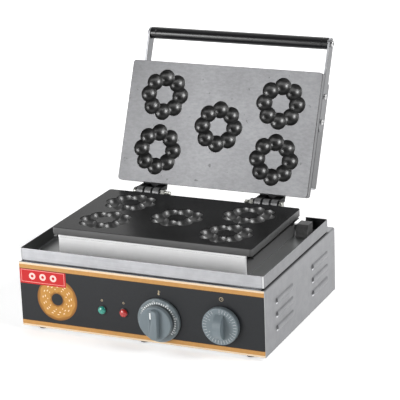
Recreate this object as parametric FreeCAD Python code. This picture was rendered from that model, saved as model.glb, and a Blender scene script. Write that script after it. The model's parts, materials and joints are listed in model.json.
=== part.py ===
"""Table-top doughnut maker: five flower-ring moulds between two hinged, heated plates.

Millimetres, +Z up. Every piece is drawn with x across the front, y = 0 at the face of the front panel
and z = 0 on the table, the lid shut. The lid pieces are then swung open, and the whole is moved along y
so that the origin lies on the table under the middle of the object.
"""
import FreeCAD, Part
import math
import os

V = FreeCAD.Vector
X_AXIS = V(1, 0, 0)
Y_AXIS = V(0, 1, 0)
Z_AXIS = V(0, 0, 1)
SIDES = (-1, 1)

# Clearances
face_fit = 0.1
running_fit = 0.05
moving_gap = 0.6

# Base housing, of folded sheet
housing_width = 380.0
housing_depth = 282.0
housing_height = 98.0
housing_sheet = 1.2
housing_bend = 3.0
deck_opening_width = 250.0
deck_opening_depth = 150.0

# Louvres pressed into both side walls
louvre_length = 72.0
louvre_radius = 7.5
louvre_rise = 2.4
louvre_first_column = 38.0
louvre_column_pitch = 141.0
louvre_columns = 2
louvre_top_row = 68.0
louvre_row_pitch = 20.0
louvre_rows = 3
louvre_slit = 1.4

# Front panel and its printed overlay
panel_sheet = 1.2
panel_flange = 12.0
overlay_thickness = 0.4
overlay_border = 0.5

# Bottom plate and feet
bottom_sheet = 1.2
bottom_flange = 10.0
vent_slot_length = 60.0
vent_slot_width = 4.0
vent_slot_pitch = 14.0
vent_slot_count = 6
vent_group_x = 95.0
foot_height = 5.0
foot_top_radius = 8.5
foot_bottom_radius = 7.0
foot_recess_radius = 4.5
foot_recess_depth = 2.6
foot_columns = 3
foot_inset_x = 27.0
foot_inset_y = 14.0
foot_screw_radius = 2.0
foot_screw_head_radius = 3.8
foot_screw_head_height = 1.8
foot_screw_bite = 3.0

# Drip tray
tray_side_step = 1.7
tray_front = 2.8
tray_depth = 254.6
tray_height = 19.8
tray_sheet = 1.0
tray_corner = 4.0
tray_bend = 3.2
tray_rear_wall = 35.0
tray_rear_sill = 2.0
tray_notch_radius = 4.0

# Mould plates: a rim of one thickness and a thicker pad behind the moulds
plate_width = 311.7
plate_depth = 187.8
plate_thickness = 11.2
plate_front = 42.0
plate_corner = 4.5
plate_chamfer = 0.6
pad_rise = 3.2
pad_margin = 1.0
mould_gap = 1.0

# Flower-ring moulds: overlapping ball cavities round a hub
ring_column = 95.65
ring_row = 42.4
ball_count = 8
ball_radius = 13.6
ball_lift = 3.0
ball_circle_radius = 26.2
ball_sides = 12
ball_rows = (14.0, 38.0, 61.0, 88.0)

# Lower heater box
heater_box_height = 30.0
heater_box_sheet = 1.2
heater_box_bend = 3.0
heater_box_side_inset = 8.25
heater_box_front_inset = 1.5
heater_box_rear_inset = 2.0
heater_box_hem = 4.0
heater_box_hem_rise = 0.6
heater_box_flange = 10.0

# Heating elements, their clamps and the insulation
element_radius = 3.25
element_column = 115.0
element_row = 62.0
element_bend = 14.0
element_end_gap = 36.0
element_tail = 26.0
clamp_thickness = 2.0
clamp_edge = 8.0
clamp_screw_radius = 2.5
clamp_screw_head_radius = 5.0
clamp_screw_head = 4.0
clamp_screw_bite = 5.0
clamp_screw_row = 48.0
clamp_screw_column = 136.0
insulation_margin = 1.0
pocket_clearance = 2.0

# Hinges
hinge_set_back = 15.7
hinge_drop = 4.45
open_angle = 113.9
hinge_column = 97.0
hinge_length = 40.0
knuckle_radius = 8.0
hinge_bolt_radius = 4.0
hinge_strap = 3.0
hinge_strap_overhang = 7.0
hinge_lug_gap = 1.0
hinge_base_height = 20.0
hinge_heel_depth = 7.0
hinge_stop_clearance = 0.3
bolt_head_radius = 6.5
bolt_head_height = 5.0
bolt_tail = 9.0
nut_across_corners = 14.4
nut_thickness = 6.5
hinge_screw_radius = 2.0
hinge_screw_head_radius = 3.8
hinge_screw_head_height = 2.0
hinge_screw_bite = 4.0
hinge_screw_pitch = 26.0

# Lid cover
cover_height = 49.5
cover_sheet = 1.2
cover_bend = 4.0
cover_front_inset = 7.0
cover_rear_inset = 17.4

# Handle
grip_radius = 9.25
grip_end_chamfer = 1.2
grip_reach = 50.0
rod_radius = 5.0
arm_width = 18.0
arm_thickness = 3.0
arm_first_screw = 24.0
arm_screw_pitch = 38.6
arm_tail = 15.0
arm_screw_radius = 2.5
arm_screw_head_radius = 4.2
arm_screw_head_height = 2.2
arm_screw_bite = 5.0
end_screw_radius = 3.0
end_screw_head_radius = 5.5
end_screw_head_height = 3.2
end_screw_bite = 16.0

# Temperature control
temperature_x = 31.2
temperature_z = 36.5
scale_ring_radius = 32.1
scale_ring_face_radius = 30.9
scale_ring_rim = 4.3
scale_ring_thickness = 5.5
scale_ring_bore = 12.0
temperature_cap_radius = 24.5
temperature_cap_depth = 10.5
temperature_bar_width = 13.0
temperature_bar_length = 44.0
temperature_bar_rise = 8.0
thermostat_width = 40.0
thermostat_height = 36.0
thermostat_length = 38.0

# Timer
timer_x = 126.2
timer_z = 41.2
timer_knob_radius = 27.0
timer_knob_depth = 8.0
timer_bar_width = 12.0
timer_bar_length = 36.0
timer_bar_rise = 13.0
timer_width = 46.0
timer_height = 50.0
timer_length = 42.0

# Knob walls, control shafts and bushes
knob_wall = 2.4
knob_round = 1.5
knob_hub_radius = 6.5
bar_round = 1.2
shaft_radius = 3.0
shaft_bite = 9.0
shaft_seat = 6.0
bush_radius = 5.0
bush_length = 4.0

# Pilot lamps
green_lamp_x = -58.5
red_lamp_x = -24.5
lamp_z = 39.8
lamp_lens_radius = 6.0
lamp_lens_rise = 5.0
lamp_lens_round = 3.4
lamp_bezel_radius = 7.2
lamp_bezel_depth = 1.4
lamp_holder_radius = 5.0
lamp_holder_length = 24.0
lamp_nut_radius = 8.0
lamp_nut_thickness = 3.0

# Thermostat bulb and capillary
bulb_radius = 3.0
bulb_length = 70.0
capillary_radius = 1.2
capillary_run = 20.0
capillary_bend = 7.0
capillary_height = 48.0

# Terminal block
terminal_x = 80.0
terminal_set_back = 62.0
terminal_width = 52.0
terminal_depth = 22.0
terminal_height = 18.0
terminal_step = 6.0
terminal_ways = 4
terminal_way_radius = 2.6

# Cord gland in the rear wall
gland_x = 120.0
gland_z = 34.0
gland_flange_radius = 13.0
gland_flange = 3.0
gland_barrel_radius = 9.5
gland_barrel = 10.0
gland_nose = 12.0
gland_nose_radius = 7.0
gland_bore = 4.0

# Outlet of the lid's leads: a small cover on the tray, and a grommet at each end
outlet_share = 0.133
outlet_width = 18.0
outlet_depth = 26.0
outlet_height = 17.5
outlet_slope = 8.0
outlet_sheet = 1.0
outlet_rear_gap = 12.0
grommet_bore = 1.8
grommet_wall = 2.8
grommet_lip = 1.6
lid_grommet_x = 135.0
lid_grommet_height = 25.0

# Levels and places that follow from the sizes above
housing_bottom = foot_height
housing_top = housing_bottom + housing_height
bottom_top = housing_bottom + bottom_sheet
tray_floor = housing_top + tray_sheet
tray_width = housing_width - 2 * tray_side_step
tray_rear = tray_front + tray_depth
tray_rim = housing_top + tray_height
box_top = tray_floor + heater_box_height
box_front = plate_front + heater_box_front_inset
plate_rear = plate_front + plate_depth
box_rear = plate_rear - heater_box_rear_inset
box_width = plate_width - 2 * heater_box_side_inset
plate_middle = plate_front + plate_depth / 2
plate_top = box_top + plate_thickness
pad_back = box_top - pad_rise
clamp_top = pad_back - 2 * element_radius
clamp_low = clamp_top - clamp_thickness
mould_plane = plate_top + mould_gap / 2
lid_back = plate_top + mould_gap + plate_thickness
cover_top = lid_back + cover_height
cover_front = plate_front + cover_front_inset
cover_rear = plate_rear - cover_rear_inset
cover_width = box_width
hinge_y = plate_rear + hinge_set_back
hinge_z = plate_top - hinge_drop
strap_rear = plate_rear + hinge_strap_overhang
knuckle_length = (hinge_length - 2 * moving_gap) / 3
arm_z = lid_back + cover_height / 2
grip_y = plate_front - grip_reach
arm_screw_y = [cover_front + arm_first_screw, cover_front + arm_first_screw + arm_screw_pitch]
overlay_face = -overlay_thickness
temperature_level = housing_bottom + temperature_z
timer_level = housing_bottom + timer_z
lamp_level = housing_bottom + lamp_z
temperature_knob_back = scale_ring_thickness + moving_gap
timer_knob_back = moving_gap
timer_hub_back = bush_length + moving_gap
bulb_x = ring_column / 2
capillary_drop_y = plate_middle - bulb_length / 2 - capillary_run
outlet_rear = tray_rear - tray_sheet - outlet_rear_gap
outlet_room_start = box_width / 2 + heater_box_hem_rise
outlet_room = tray_width / 2 - tray_sheet - outlet_room_start - outlet_width
outlet_x = outlet_room_start + outlet_room * outlet_share


def block(x0, x1, y0, y1, z0, z1):
    """Box between two corners."""
    return Part.makeBox(x1 - x0, y1 - y0, z1 - z0, V(x0, y0, z0))


def rod(point, axis, radius, length):
    """Plain cylinder from a point along an axis."""
    return Part.makeCylinder(radius, length, point, axis)


def turned(profile, point, axis):
    """Solid of revolution of (radius, height) points about an axis through a point."""
    face = Part.Face(Part.makePolygon([V(r, 0, h) for r, h in profile + profile[:1]]))
    solid = face.revolve(V(0, 0, 0), Z_AXIS, 360)
    solid.Placement = FreeCAD.Placement(point, FreeCAD.Rotation(Z_AXIS, axis))
    return solid


def slab(points, x0, x1):
    """Slab from x0 to x1 whose outline is a list of (y, z) points."""
    face = Part.Face(Part.makePolygon([V(x0, y, z) for y, z in points + points[:1]]))
    return face.extrude(V(x1 - x0, 0, 0))


def edges_along(shape, axis, test):
    """Straight edges of a shape that run along an axis and whose middle passes a test."""
    found = []
    for edge in shape.Edges:
        straight = edge.Curve.TypeId == "Part::GeomLine"
        if straight and abs(edge.tangentAt(edge.FirstParameter).dot(axis)) > 0.999:
            if test(edge.CenterOfMass):
                found.append(edge)
    return found


def edges_at_level(shape, z):
    """Edges of a shape that lie in one horizontal plane."""
    return [e for e in shape.Edges if abs(e.BoundBox.ZMin - z) + abs(e.BoundBox.ZMax - z) < face_fit]


def edges_at_face(shape, y):
    """Edges of a shape that lie in one plane across y."""
    return [e for e in shape.Edges if abs(e.BoundBox.YMin - y) + abs(e.BoundBox.YMax - y) < face_fit]


def rounded_block(x0, x1, y0, y1, z0, z1, radius):
    """Box with its four upright edges rounded."""
    solid = block(x0, x1, y0, y1, z0, z1)
    return solid.makeFillet(radius, edges_along(solid, Z_AXIS, lambda middle: True))


def stadium(start, end, side, width, depth):
    """Flat bar with round ends: from start to end, its width across, its depth along side."""
    along = (end - start).normalize()
    across = side.cross(along) * (width / 2)
    tip = along * (width / 2)
    edges = [Part.LineSegment(start + across, end + across), Part.Arc(end + across, end + tip, end - across),
             Part.LineSegment(end - across, start - across), Part.Arc(start - across, start - tip, start + across)]
    return Part.Face(Part.Wire([edge.toShape() for edge in edges])).extrude(side * depth)


def bent_tube(points, bend, radius):
    """Round tube along straight runs joined by tangent arcs of one bend radius."""
    edges = []
    start = points[0]
    for before, corner, after in zip(points, points[1:], points[2:]):
        back = (before - corner).normalize()
        ahead = (after - corner).normalize()
        half_turn = (math.pi - back.getAngle(ahead)) / 2
        cut = bend * math.tan(half_turn)
        inward = (back + ahead).normalize()
        middle = corner + inward * (bend / math.cos(half_turn) - bend)
        edges.append(Part.LineSegment(start, corner + back * cut).toShape())
        edges.append(Part.Arc(corner + back * cut, middle, corner + ahead * cut).toShape())
        start = corner + ahead * cut
    edges.append(Part.LineSegment(start, points[-1]).toShape())
    section = Part.Wire(Part.makeCircle(radius, points[0], points[1] - points[0]))
    return Part.Wire(edges).makePipeShell([section], True, False)


def pan_screw(point, outward, radius, length, head_radius, head_height):
    """Pan-head screw: its head stands outward from the point, its shank runs back from it."""
    shoulder = head_height / 2
    head = [(0, 0), (head_radius, 0), (head_radius, shoulder), (head_radius - shoulder, head_height),
            (0, head_height)]
    return turned(head, point, outward).fuse(rod(point, outward * -1, radius, length))


def grommet(point, axis, sheet):
    """Rubber bush snapped into a hole in a sheet that starts at the point."""
    neck = grommet_bore + grommet_wall
    lip = neck + grommet_lip
    profile = [(grommet_bore, -grommet_lip), (lip, -grommet_lip), (lip, 0), (neck, 0), (neck, sheet), (lip, sheet),
               (lip, sheet + grommet_lip), (grommet_bore, sheet + grommet_lip)]
    return turned(profile, point, axis)


def grommet_hole(point, axis, sheet):
    """Hole that a grommet's neck fills."""
    return rod(point, axis, grommet_bore + grommet_wall + face_fit, sheet)


def turned_over(shape):
    """The same piece on the other side of the mould plane, for the lid."""
    return shape.mirror(V(0, 0, mould_plane), Z_AXIS)


def swung_open(y, z):
    """Where a point of the shut lid, given from the hinge axis, lies when the lid is open."""
    turn = math.radians(open_angle)
    return y * math.cos(turn) + z * math.sin(turn), z * math.cos(turn) - y * math.sin(turn)


def ring_centres():
    """Middles of the five flower rings on a mould plate."""
    corners = [(sx * ring_column, plate_middle + sy * ring_row) for sy in SIDES for sx in SIDES]
    return corners + [(0, plate_middle)]


def ball_cavity(middle, outward):
    """Ball in flat facets, closed at the top: each row of corners lies at its angle from the lowest point."""
    rows = []
    for angle in ball_rows:
        reach = outward * (ball_radius * math.sin(math.radians(angle)))
        level = middle - Z_AXIS * (ball_radius * math.cos(math.radians(angle)))
        turns = [360 * (i + 0.5) / ball_sides for i in range(ball_sides)]
        rows.append([level + FreeCAD.Rotation(Z_AXIS, turn).multVec(reach) for turn in turns])
    facets = [row + row[:1] for row in (rows[0], rows[-1])]
    for below, above in zip(rows, rows[1:]):
        facets += [[below[i - 1], below[i], above[i], above[i - 1], below[i - 1]] for i in range(ball_sides)]
    return Part.Solid(Part.Shell([Part.Face(Part.makePolygon(corners)) for corners in facets]))


def flower_ring(x, y):
    """Ring of overlapping ball cavities round a hub that stays whole."""
    middle = V(x, y, plate_top + ball_lift)
    balls = []
    for i in range(ball_count):
        outward = FreeCAD.Rotation(Z_AXIS, 360 * i / ball_count).multVec(X_AXIS)
        balls.append(ball_cavity(middle + outward * ball_circle_radius, outward))
    return balls[0].fuse(balls[1:])


def clamp_screw_places():
    """Places of the four screws that pull a clamp against its plate."""
    rows = [(0, plate_middle + s * clamp_screw_row) for s in SIDES]
    columns = [(s * clamp_screw_column, plate_middle) for s in SIDES]
    return rows + columns


def foot_places():
    """Two rows of feet under the bottom plate."""
    reach = housing_width / 2 - foot_inset_x
    step = 2 * reach / (foot_columns - 1)
    rows = (foot_inset_y, housing_depth - foot_inset_y)
    return [(-reach + i * step, y) for y in rows for i in range(foot_columns)]


def control_holes(start, depth):
    """Holes for the two bushes and the two lamps through a sheet of the front."""
    places = [(temperature_x, temperature_level, bush_radius), (timer_x, timer_level, bush_radius),
              (green_lamp_x, lamp_level, lamp_holder_radius), (red_lamp_x, lamp_level, lamp_holder_radius)]
    return [rod(V(x, start, z), Y_AXIS, radius + face_fit, depth) for x, z, radius in places]


def tail_holes(low, high):
    """Upright slots for the two tails of an element, as long as the bends above them."""
    inset = element_end_gap / 2
    rear = plate_middle + element_row
    return [stadium(V(s * (inset + element_bend), rear, low), V(s * inset, rear, low), Z_AXIS,
                    2 * (element_radius + pocket_clearance), high - low) for s in SIDES]


def capillary_hole(low, high):
    """Upright hole for the capillary."""
    return rod(V(bulb_x, capillary_drop_y, low), Z_AXIS, capillary_radius + pocket_clearance, high - low)


def hinge_screw_x(side):
    """Places across of the two screws of a hinge leaf."""
    return [side * hinge_column + s * hinge_screw_pitch / 2 for s in SIDES]


def louvre(side, y, z):
    """Long blister with round ends, standing out of a side wall."""
    centre = side * (housing_width / 2 + louvre_rise - louvre_radius)
    straight = louvre_length - 2 * louvre_radius
    first = V(centre, y + louvre_radius, z)
    ends = [Part.makeSphere(louvre_radius, first), Part.makeSphere(louvre_radius, first + Y_AXIS * straight)]
    return rod(first, Y_AXIS, louvre_radius, straight).fuse(ends)


def louvre_slot(side, y, z):
    """Slit through the wall along a blister's lower edge."""
    low = z - math.sqrt(louvre_radius ** 2 - (louvre_radius - louvre_rise) ** 2)
    ends = (side * (housing_width / 2 + louvre_rise), side * (housing_width / 2 - housing_sheet))
    return block(min(ends), max(ends), y + louvre_radius, y + louvre_length - louvre_radius, low, low + louvre_slit)


def louvre_places():
    """Rows and columns of louvres on both sides."""
    return [(side, louvre_first_column + column * louvre_column_pitch,
             housing_bottom + louvre_top_row - row * louvre_row_pitch)
            for side in SIDES for column in range(louvre_columns) for row in range(louvre_rows)]


def make_base_housing():
    half = housing_width / 2
    inner = half - housing_sheet
    outer = block(-half, half, panel_sheet, housing_depth, housing_bottom, housing_top)
    bends = edges_along(outer, Z_AXIS, lambda middle: middle.y > housing_depth / 2)
    bends += edges_along(outer, Y_AXIS, lambda middle: middle.z > housing_height)
    bends += edges_along(outer, X_AXIS, lambda middle: middle.z > housing_height and middle.y > housing_depth / 2)
    outer = outer.makeFillet(housing_bend, bends)
    hollow = block(-inner, inner, 0, housing_depth - housing_sheet, 0, housing_top - housing_sheet)
    opening = block(-deck_opening_width / 2, deck_opening_width / 2, plate_middle - deck_opening_depth / 2,
                    plate_middle + deck_opening_depth / 2, housing_top - housing_sheet, housing_top)
    gland_hole = rod(V(gland_x, housing_depth - housing_sheet, housing_bottom + gland_z), Y_AXIS,
                     gland_barrel_radius + face_fit, housing_sheet)
    blisters = [louvre(*place) for place in louvre_places()]
    slots = [louvre_slot(*place) for place in louvre_places()]
    return outer.fuse(blisters).cut([hollow, opening, gland_hole] + slots)


def make_front_panel():
    half = housing_width / 2
    inside = half - housing_sheet - bottom_sheet - face_fit
    top = housing_top - housing_sheet
    sheet = block(-half, half, 0, panel_sheet, housing_bottom, housing_top)
    flanges = [block(-inside, inside, 0, panel_flange, top - panel_sheet, top),
               block(-inside, inside, 0, panel_flange, bottom_top, bottom_top + panel_sheet)]
    return sheet.fuse(flanges).cut(control_holes(0, panel_sheet))


def make_panel_overlay():
    half = housing_width / 2 - overlay_border
    film = block(-half, half, overlay_face, 0, housing_bottom + overlay_border, housing_top - overlay_border)
    return film.cut(control_holes(overlay_face, overlay_thickness))


def make_bottom_plate():
    half = housing_width / 2 - housing_sheet
    rear = housing_depth - housing_sheet
    top = housing_bottom + bottom_flange
    pan = block(-half, half, panel_sheet, rear, housing_bottom, top)
    hollow = block(-half + bottom_sheet, half - bottom_sheet, 0, rear - bottom_sheet, bottom_top, top)
    holes = [rod(V(x, y, housing_bottom), Z_AXIS, foot_screw_radius + face_fit, bottom_sheet)
             for x, y in foot_places()]
    first = housing_depth / 2 - vent_slot_pitch * (vent_slot_count - 1) / 2
    for side in SIDES:
        for i in range(vent_slot_count):
            x = side * vent_group_x
            y = first + i * vent_slot_pitch
            holes.append(block(x - vent_slot_length / 2, x + vent_slot_length / 2, y - vent_slot_width / 2,
                               y + vent_slot_width / 2, housing_bottom, bottom_top))
    return pan.cut([hollow] + holes)


def make_feet():
    bore = foot_screw_radius + face_fit
    profile = [(foot_recess_radius, 0), (foot_bottom_radius, 0), (foot_top_radius, foot_height), (bore, foot_height),
               (bore, foot_recess_depth), (foot_recess_radius, foot_recess_depth)]
    return [turned(profile, V(x, y, 0), Z_AXIS) for x, y in foot_places()]


def make_foot_screws():
    length = foot_height - foot_recess_depth + bottom_sheet + foot_screw_bite
    return [pan_screw(V(x, y, foot_recess_depth), Z_AXIS * -1, foot_screw_radius, length, foot_screw_head_radius,
                      foot_screw_head_height) for x, y in foot_places()]


def make_cord_gland():
    inside = -housing_sheet
    collar = inside - gland_flange
    nose = gland_flange + gland_nose
    profile = [(gland_bore, collar - gland_barrel), (gland_barrel_radius, collar - gland_barrel),
               (gland_barrel_radius, collar), (gland_flange_radius, collar), (gland_flange_radius, inside),
               (gland_barrel_radius, inside), (gland_barrel_radius, 0), (gland_flange_radius, 0),
               (gland_flange_radius, gland_flange), (gland_barrel_radius, gland_flange), (gland_nose_radius, nose),
               (gland_bore, nose)]
    return turned(profile, V(gland_x, housing_depth, housing_bottom + gland_z), Y_AXIS)


def make_drip_tray():
    half = tray_width / 2
    outer = rounded_block(-half, half, tray_front, tray_rear, housing_top, tray_rim, tray_corner)
    outer = outer.makeFillet(tray_bend, edges_at_level(outer, housing_top))
    inner = rounded_block(-half + tray_sheet, half - tray_sheet, tray_front + tray_sheet, tray_rear - tray_sheet,
                          tray_floor, tray_rim, tray_corner - tray_sheet)
    inner = inner.makeFillet(tray_bend - tray_sheet, edges_at_level(inner, tray_floor))
    notch_half = half - tray_rear_wall
    notch = block(-notch_half, notch_half, tray_rear - tray_bend, tray_rear, tray_floor + tray_bend + tray_rear_sill,
                  tray_rim + tray_notch_radius)
    notch = notch.makeFillet(tray_notch_radius, edges_along(notch, Y_AXIS, lambda middle: middle.z < tray_rim))
    return outer.cut([inner, notch, capillary_hole(housing_top, tray_floor)] + tail_holes(housing_top, tray_floor))


def make_lower_heater_box():
    half = box_width / 2
    wall = heater_box_sheet
    rise = heater_box_hem_rise
    flange = heater_box_flange
    body = rounded_block(-half, half, box_front, box_rear, tray_floor, box_top, heater_box_bend)
    hem = rounded_block(-half - rise, half + rise, box_front - rise, box_rear + rise, box_top - heater_box_hem,
                        box_top, heater_box_bend + rise)
    hollow = rounded_block(-half + wall, half - wall, box_front + wall, box_rear - wall, tray_floor + wall, box_top,
                           heater_box_bend - wall)
    mouth = block(-half + flange, half - flange, box_front + flange, box_rear - flange, tray_floor, tray_floor + wall)
    screw_holes = [rod(V(x, box_rear - wall, hinge_base_screw_level()), Y_AXIS, hinge_screw_radius + face_fit, wall)
                   for side in SIDES for x in hinge_screw_x(side)]
    return body.fuse(hem).cut([hollow, mouth] + screw_holes)


def make_lower_mould_plate():
    """Mould face up: the plate with its thicker pad, and the rings' ball cavities."""
    half = plate_width / 2
    plate = rounded_block(-half, half, plate_front, plate_rear, box_top, plate_top, plate_corner)
    plate = plate.makeChamfer(plate_chamfer, edges_at_level(plate, plate_top))
    pad_half = cover_width / 2 - cover_sheet - pad_margin
    pad = rounded_block(-pad_half, pad_half, cover_front + cover_sheet + pad_margin,
                        cover_rear - cover_sheet - pad_margin, pad_back, box_top, cover_bend)
    rings = [flower_ring(x, y) for x, y in ring_centres()]
    screw_holes = [rod(V(x, y, pad_back), Z_AXIS, clamp_screw_radius + face_fit, clamp_screw_bite + face_fit)
                   for x, y in clamp_screw_places()]
    return plate.fuse(pad).cut(rings + screw_holes)


def make_heating_element():
    """Round element in one loop on the plate's pad, its two ends turned away from the plate."""
    level = pad_back - element_radius
    inset = element_end_gap / 2
    rear = plate_middle + element_row
    front = plate_middle - element_row
    corners = [V(-inset, rear, level - element_tail), V(-inset, rear, level), V(-element_column, rear, level),
               V(-element_column, front, level), V(element_column, front, level), V(element_column, rear, level),
               V(inset, rear, level), V(inset, rear, level - element_tail)]
    return bent_tube(corners, element_bend, element_radius)


def make_element_clamp():
    """Sheet that presses the element against the pad."""
    half = clamp_screw_column + clamp_edge
    reach = element_row + element_radius + clamp_edge
    sheet = rounded_block(-half, half, plate_middle - reach, plate_middle + reach, clamp_low, clamp_top, clamp_edge)
    screw_holes = [rod(V(x, y, clamp_low), Z_AXIS, clamp_screw_radius + face_fit, clamp_thickness)
                   for x, y in clamp_screw_places()]
    return sheet.cut(screw_holes + tail_holes(clamp_low, clamp_top))


def make_lower_element_clamp():
    return make_element_clamp().cut(capillary_hole(clamp_low, clamp_top))


def make_clamp_screws():
    length = clamp_thickness + 2 * element_radius + clamp_screw_bite
    return [pan_screw(V(x, y, clamp_low), Z_AXIS * -1, clamp_screw_radius, length, clamp_screw_head_radius,
                      clamp_screw_head) for x, y in clamp_screw_places()]


def make_insulation(low):
    """Mineral board from a level up to the clamp, with pockets for the screws and the tails."""
    half = box_width / 2 - heater_box_flange - insulation_margin
    board = block(-half, half, cover_front + heater_box_flange, cover_rear - heater_box_flange, low, clamp_low)
    pockets = [rod(V(x, y, clamp_low - clamp_screw_head - pocket_clearance), Z_AXIS,
                   clamp_screw_head_radius + pocket_clearance, clamp_screw_head + pocket_clearance)
               for x, y in clamp_screw_places()]
    return board.cut(pockets + tail_holes(low, clamp_low))


def make_lower_insulation():
    return make_insulation(tray_floor).cut(capillary_hole(tray_floor, clamp_low))


def make_upper_insulation():
    return turned_over(make_insulation(2 * mould_plane - cover_top + cover_sheet))


def make_upper_mould_plate():
    """The lower plate's twin, face down, with blind holes for the hinge straps' screws."""
    y = (cover_rear + plate_rear) / 2
    holes = [rod(V(x, y, lid_back - hinge_screw_bite - face_fit), Z_AXIS, hinge_screw_radius + face_fit,
                 hinge_screw_bite + face_fit) for side in SIDES for x in hinge_screw_x(side)]
    return turned_over(make_lower_mould_plate()).cut(holes)


def make_lid_cover():
    half = cover_width / 2
    wall = cover_sheet
    outer = rounded_block(-half, half, cover_front, cover_rear, lid_back, cover_top, cover_bend)
    outer = outer.makeFillet(cover_bend - face_fit, edges_at_level(outer, cover_top))
    inner = rounded_block(-half + wall, half - wall, cover_front + wall, cover_rear - wall, lid_back,
                          cover_top - wall, cover_bend - wall)
    screw_holes = [rod(V(-half, y, arm_z), X_AXIS, arm_screw_radius + face_fit, cover_width) for y in arm_screw_y]
    lead_hole = grommet_hole(V(lid_grommet_x, cover_rear - wall, lid_back + lid_grommet_height), Y_AXIS, wall)
    return outer.cut([inner, lead_hole] + screw_holes)


def hinge_base_screw_level():
    """Height of the screws of the lower hinge leaves."""
    return box_top - heater_box_hem - hinge_base_height / 2


def knuckle(x0, x1):
    """Barrel of a hinge between two places across, bored for its bolt."""
    return rod(V(x0, hinge_y, hinge_z), X_AXIS, knuckle_radius, x1 - x0)


def hinge_bore():
    """Bolt hole right across the object on the hinge axis."""
    return rod(V(-housing_width / 2, hinge_y, hinge_z), X_AXIS, hinge_bolt_radius + running_fit, housing_width)


def make_hinge_base(side):
    """Fixed leaf: a plate on the heater box, a lug up to the middle knuckle and a heel that stops the lid."""
    middle = side * hinge_column
    x0 = middle - knuckle_length / 2
    x1 = middle + knuckle_length / 2
    back = box_rear + hinge_strap
    high = box_top - heater_box_hem
    low = high - hinge_base_height
    plate = block(middle - hinge_length / 2, middle + hinge_length / 2, box_rear, back, low, high)
    lug = slab([(back, low), (back, high), (hinge_y - knuckle_radius, hinge_z), (hinge_y, hinge_z),
                (hinge_y, hinge_z - knuckle_radius)], x0, x1)
    stop_y = strap_rear + hinge_stop_clearance - hinge_y
    near = swung_open(stop_y, lid_back - hinge_z)
    far = swung_open(stop_y, lid_back + hinge_strap - hinge_z)
    heel = slab([(hinge_y, hinge_z), (hinge_y + near[0], hinge_z + near[1]), (hinge_y + far[0], hinge_z + far[1]),
                 (hinge_y + far[0], hinge_z + far[1] - hinge_heel_depth), (hinge_y, hinge_z - knuckle_radius)], x0, x1)
    holes = [rod(V(x, box_rear, hinge_base_screw_level()), Y_AXIS, hinge_screw_radius + face_fit, hinge_strap)
             for x in hinge_screw_x(side)]
    return plate.fuse([lug, heel, knuckle(x0, x1)]).cut([hinge_bore()] + holes)


def make_hinge_leaf(side):
    """Lid leaf: a strap on the plate's back and two lugs down to the outer knuckles."""
    middle = side * hinge_column
    strap_top = lid_back + hinge_strap
    lug_front = plate_rear + hinge_lug_gap
    slant = knuckle_radius * math.sqrt(0.5)
    profile = [(lug_front, lid_back), (lug_front, strap_top), (strap_rear, strap_top),
               (hinge_y + slant, hinge_z + slant), (hinge_y, hinge_z), (hinge_y - knuckle_radius, hinge_z)]
    strap = block(middle - hinge_length / 2, middle + hinge_length / 2, cover_rear, strap_rear, lid_back, strap_top)
    pieces = []
    for end in SIDES:
        ends = (middle + end * (hinge_length / 2 - knuckle_length), middle + end * hinge_length / 2)
        pieces.append(slab(profile, min(ends), max(ends)))
        pieces.append(knuckle(min(ends), max(ends)))
    holes = [rod(V(x, (cover_rear + plate_rear) / 2, lid_back), Z_AXIS, hinge_screw_radius + face_fit, hinge_strap)
             for x in hinge_screw_x(side)]
    return strap.fuse(pieces).cut([hinge_bore()] + holes)


def make_hinge_base_screws():
    place = box_rear + hinge_strap
    length = hinge_strap + heater_box_sheet + hinge_screw_bite
    return [pan_screw(V(x, place, hinge_base_screw_level()), Y_AXIS, hinge_screw_radius, length,
                      hinge_screw_head_radius, hinge_screw_head_height)
            for side in SIDES for x in hinge_screw_x(side)]


def make_hinge_leaf_screws():
    place = (cover_rear + plate_rear) / 2
    return [pan_screw(V(x, place, lid_back + hinge_strap), Z_AXIS, hinge_screw_radius, hinge_strap + hinge_screw_bite,
                      hinge_screw_head_radius, hinge_screw_head_height)
            for side in SIDES for x in hinge_screw_x(side)]


def make_hinge_bolts():
    """One bolt through each hinge, its head outboard and its thread towards the middle."""
    length = hinge_length + 2 * moving_gap + nut_thickness + bolt_tail
    head = [(0, 0), (bolt_head_radius, 0), (bolt_head_radius, bolt_head_height / 2),
            (bolt_head_radius - bolt_head_height / 2, bolt_head_height), (0, bolt_head_height)]
    bolts = []
    for side in SIDES:
        seat = V(side * (hinge_column + hinge_length / 2 + moving_gap), hinge_y, hinge_z)
        outward = X_AXIS * side
        bolts.append(turned(head, seat, outward).fuse(rod(seat, outward * -1, hinge_bolt_radius, length)))
    return bolts


def make_hinge_nuts():
    """Hexagon nut at the inner end of each hinge."""
    nuts = []
    for side in SIDES:
        face = side * (hinge_column - hinge_length / 2 - moving_gap)
        corners = [(hinge_y + nut_across_corners / 2 * math.cos(math.radians(60 * i)),
                    hinge_z + nut_across_corners / 2 * math.sin(math.radians(60 * i))) for i in range(6)]
        ends = (face, face - side * nut_thickness)
        nuts.append(slab(corners, min(ends), max(ends)).cut(hinge_bore()))
    return nuts


def make_handle_arm(side):
    """Flat bar outside the cover's side wall, from behind the second screw to the grip."""
    wall = side * cover_width / 2
    tail = arm_screw_y[-1] + arm_tail - arm_width / 2
    bar = stadium(V(wall, grip_y, arm_z), V(wall, tail, arm_z), X_AXIS * side, arm_width, arm_thickness)
    holes = [rod(V(wall, y, arm_z), X_AXIS * side, arm_screw_radius + face_fit, arm_thickness) for y in arm_screw_y]
    holes.append(rod(V(wall, grip_y, arm_z), X_AXIS * side, end_screw_radius + face_fit, arm_thickness))
    return bar.cut(holes)


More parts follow.
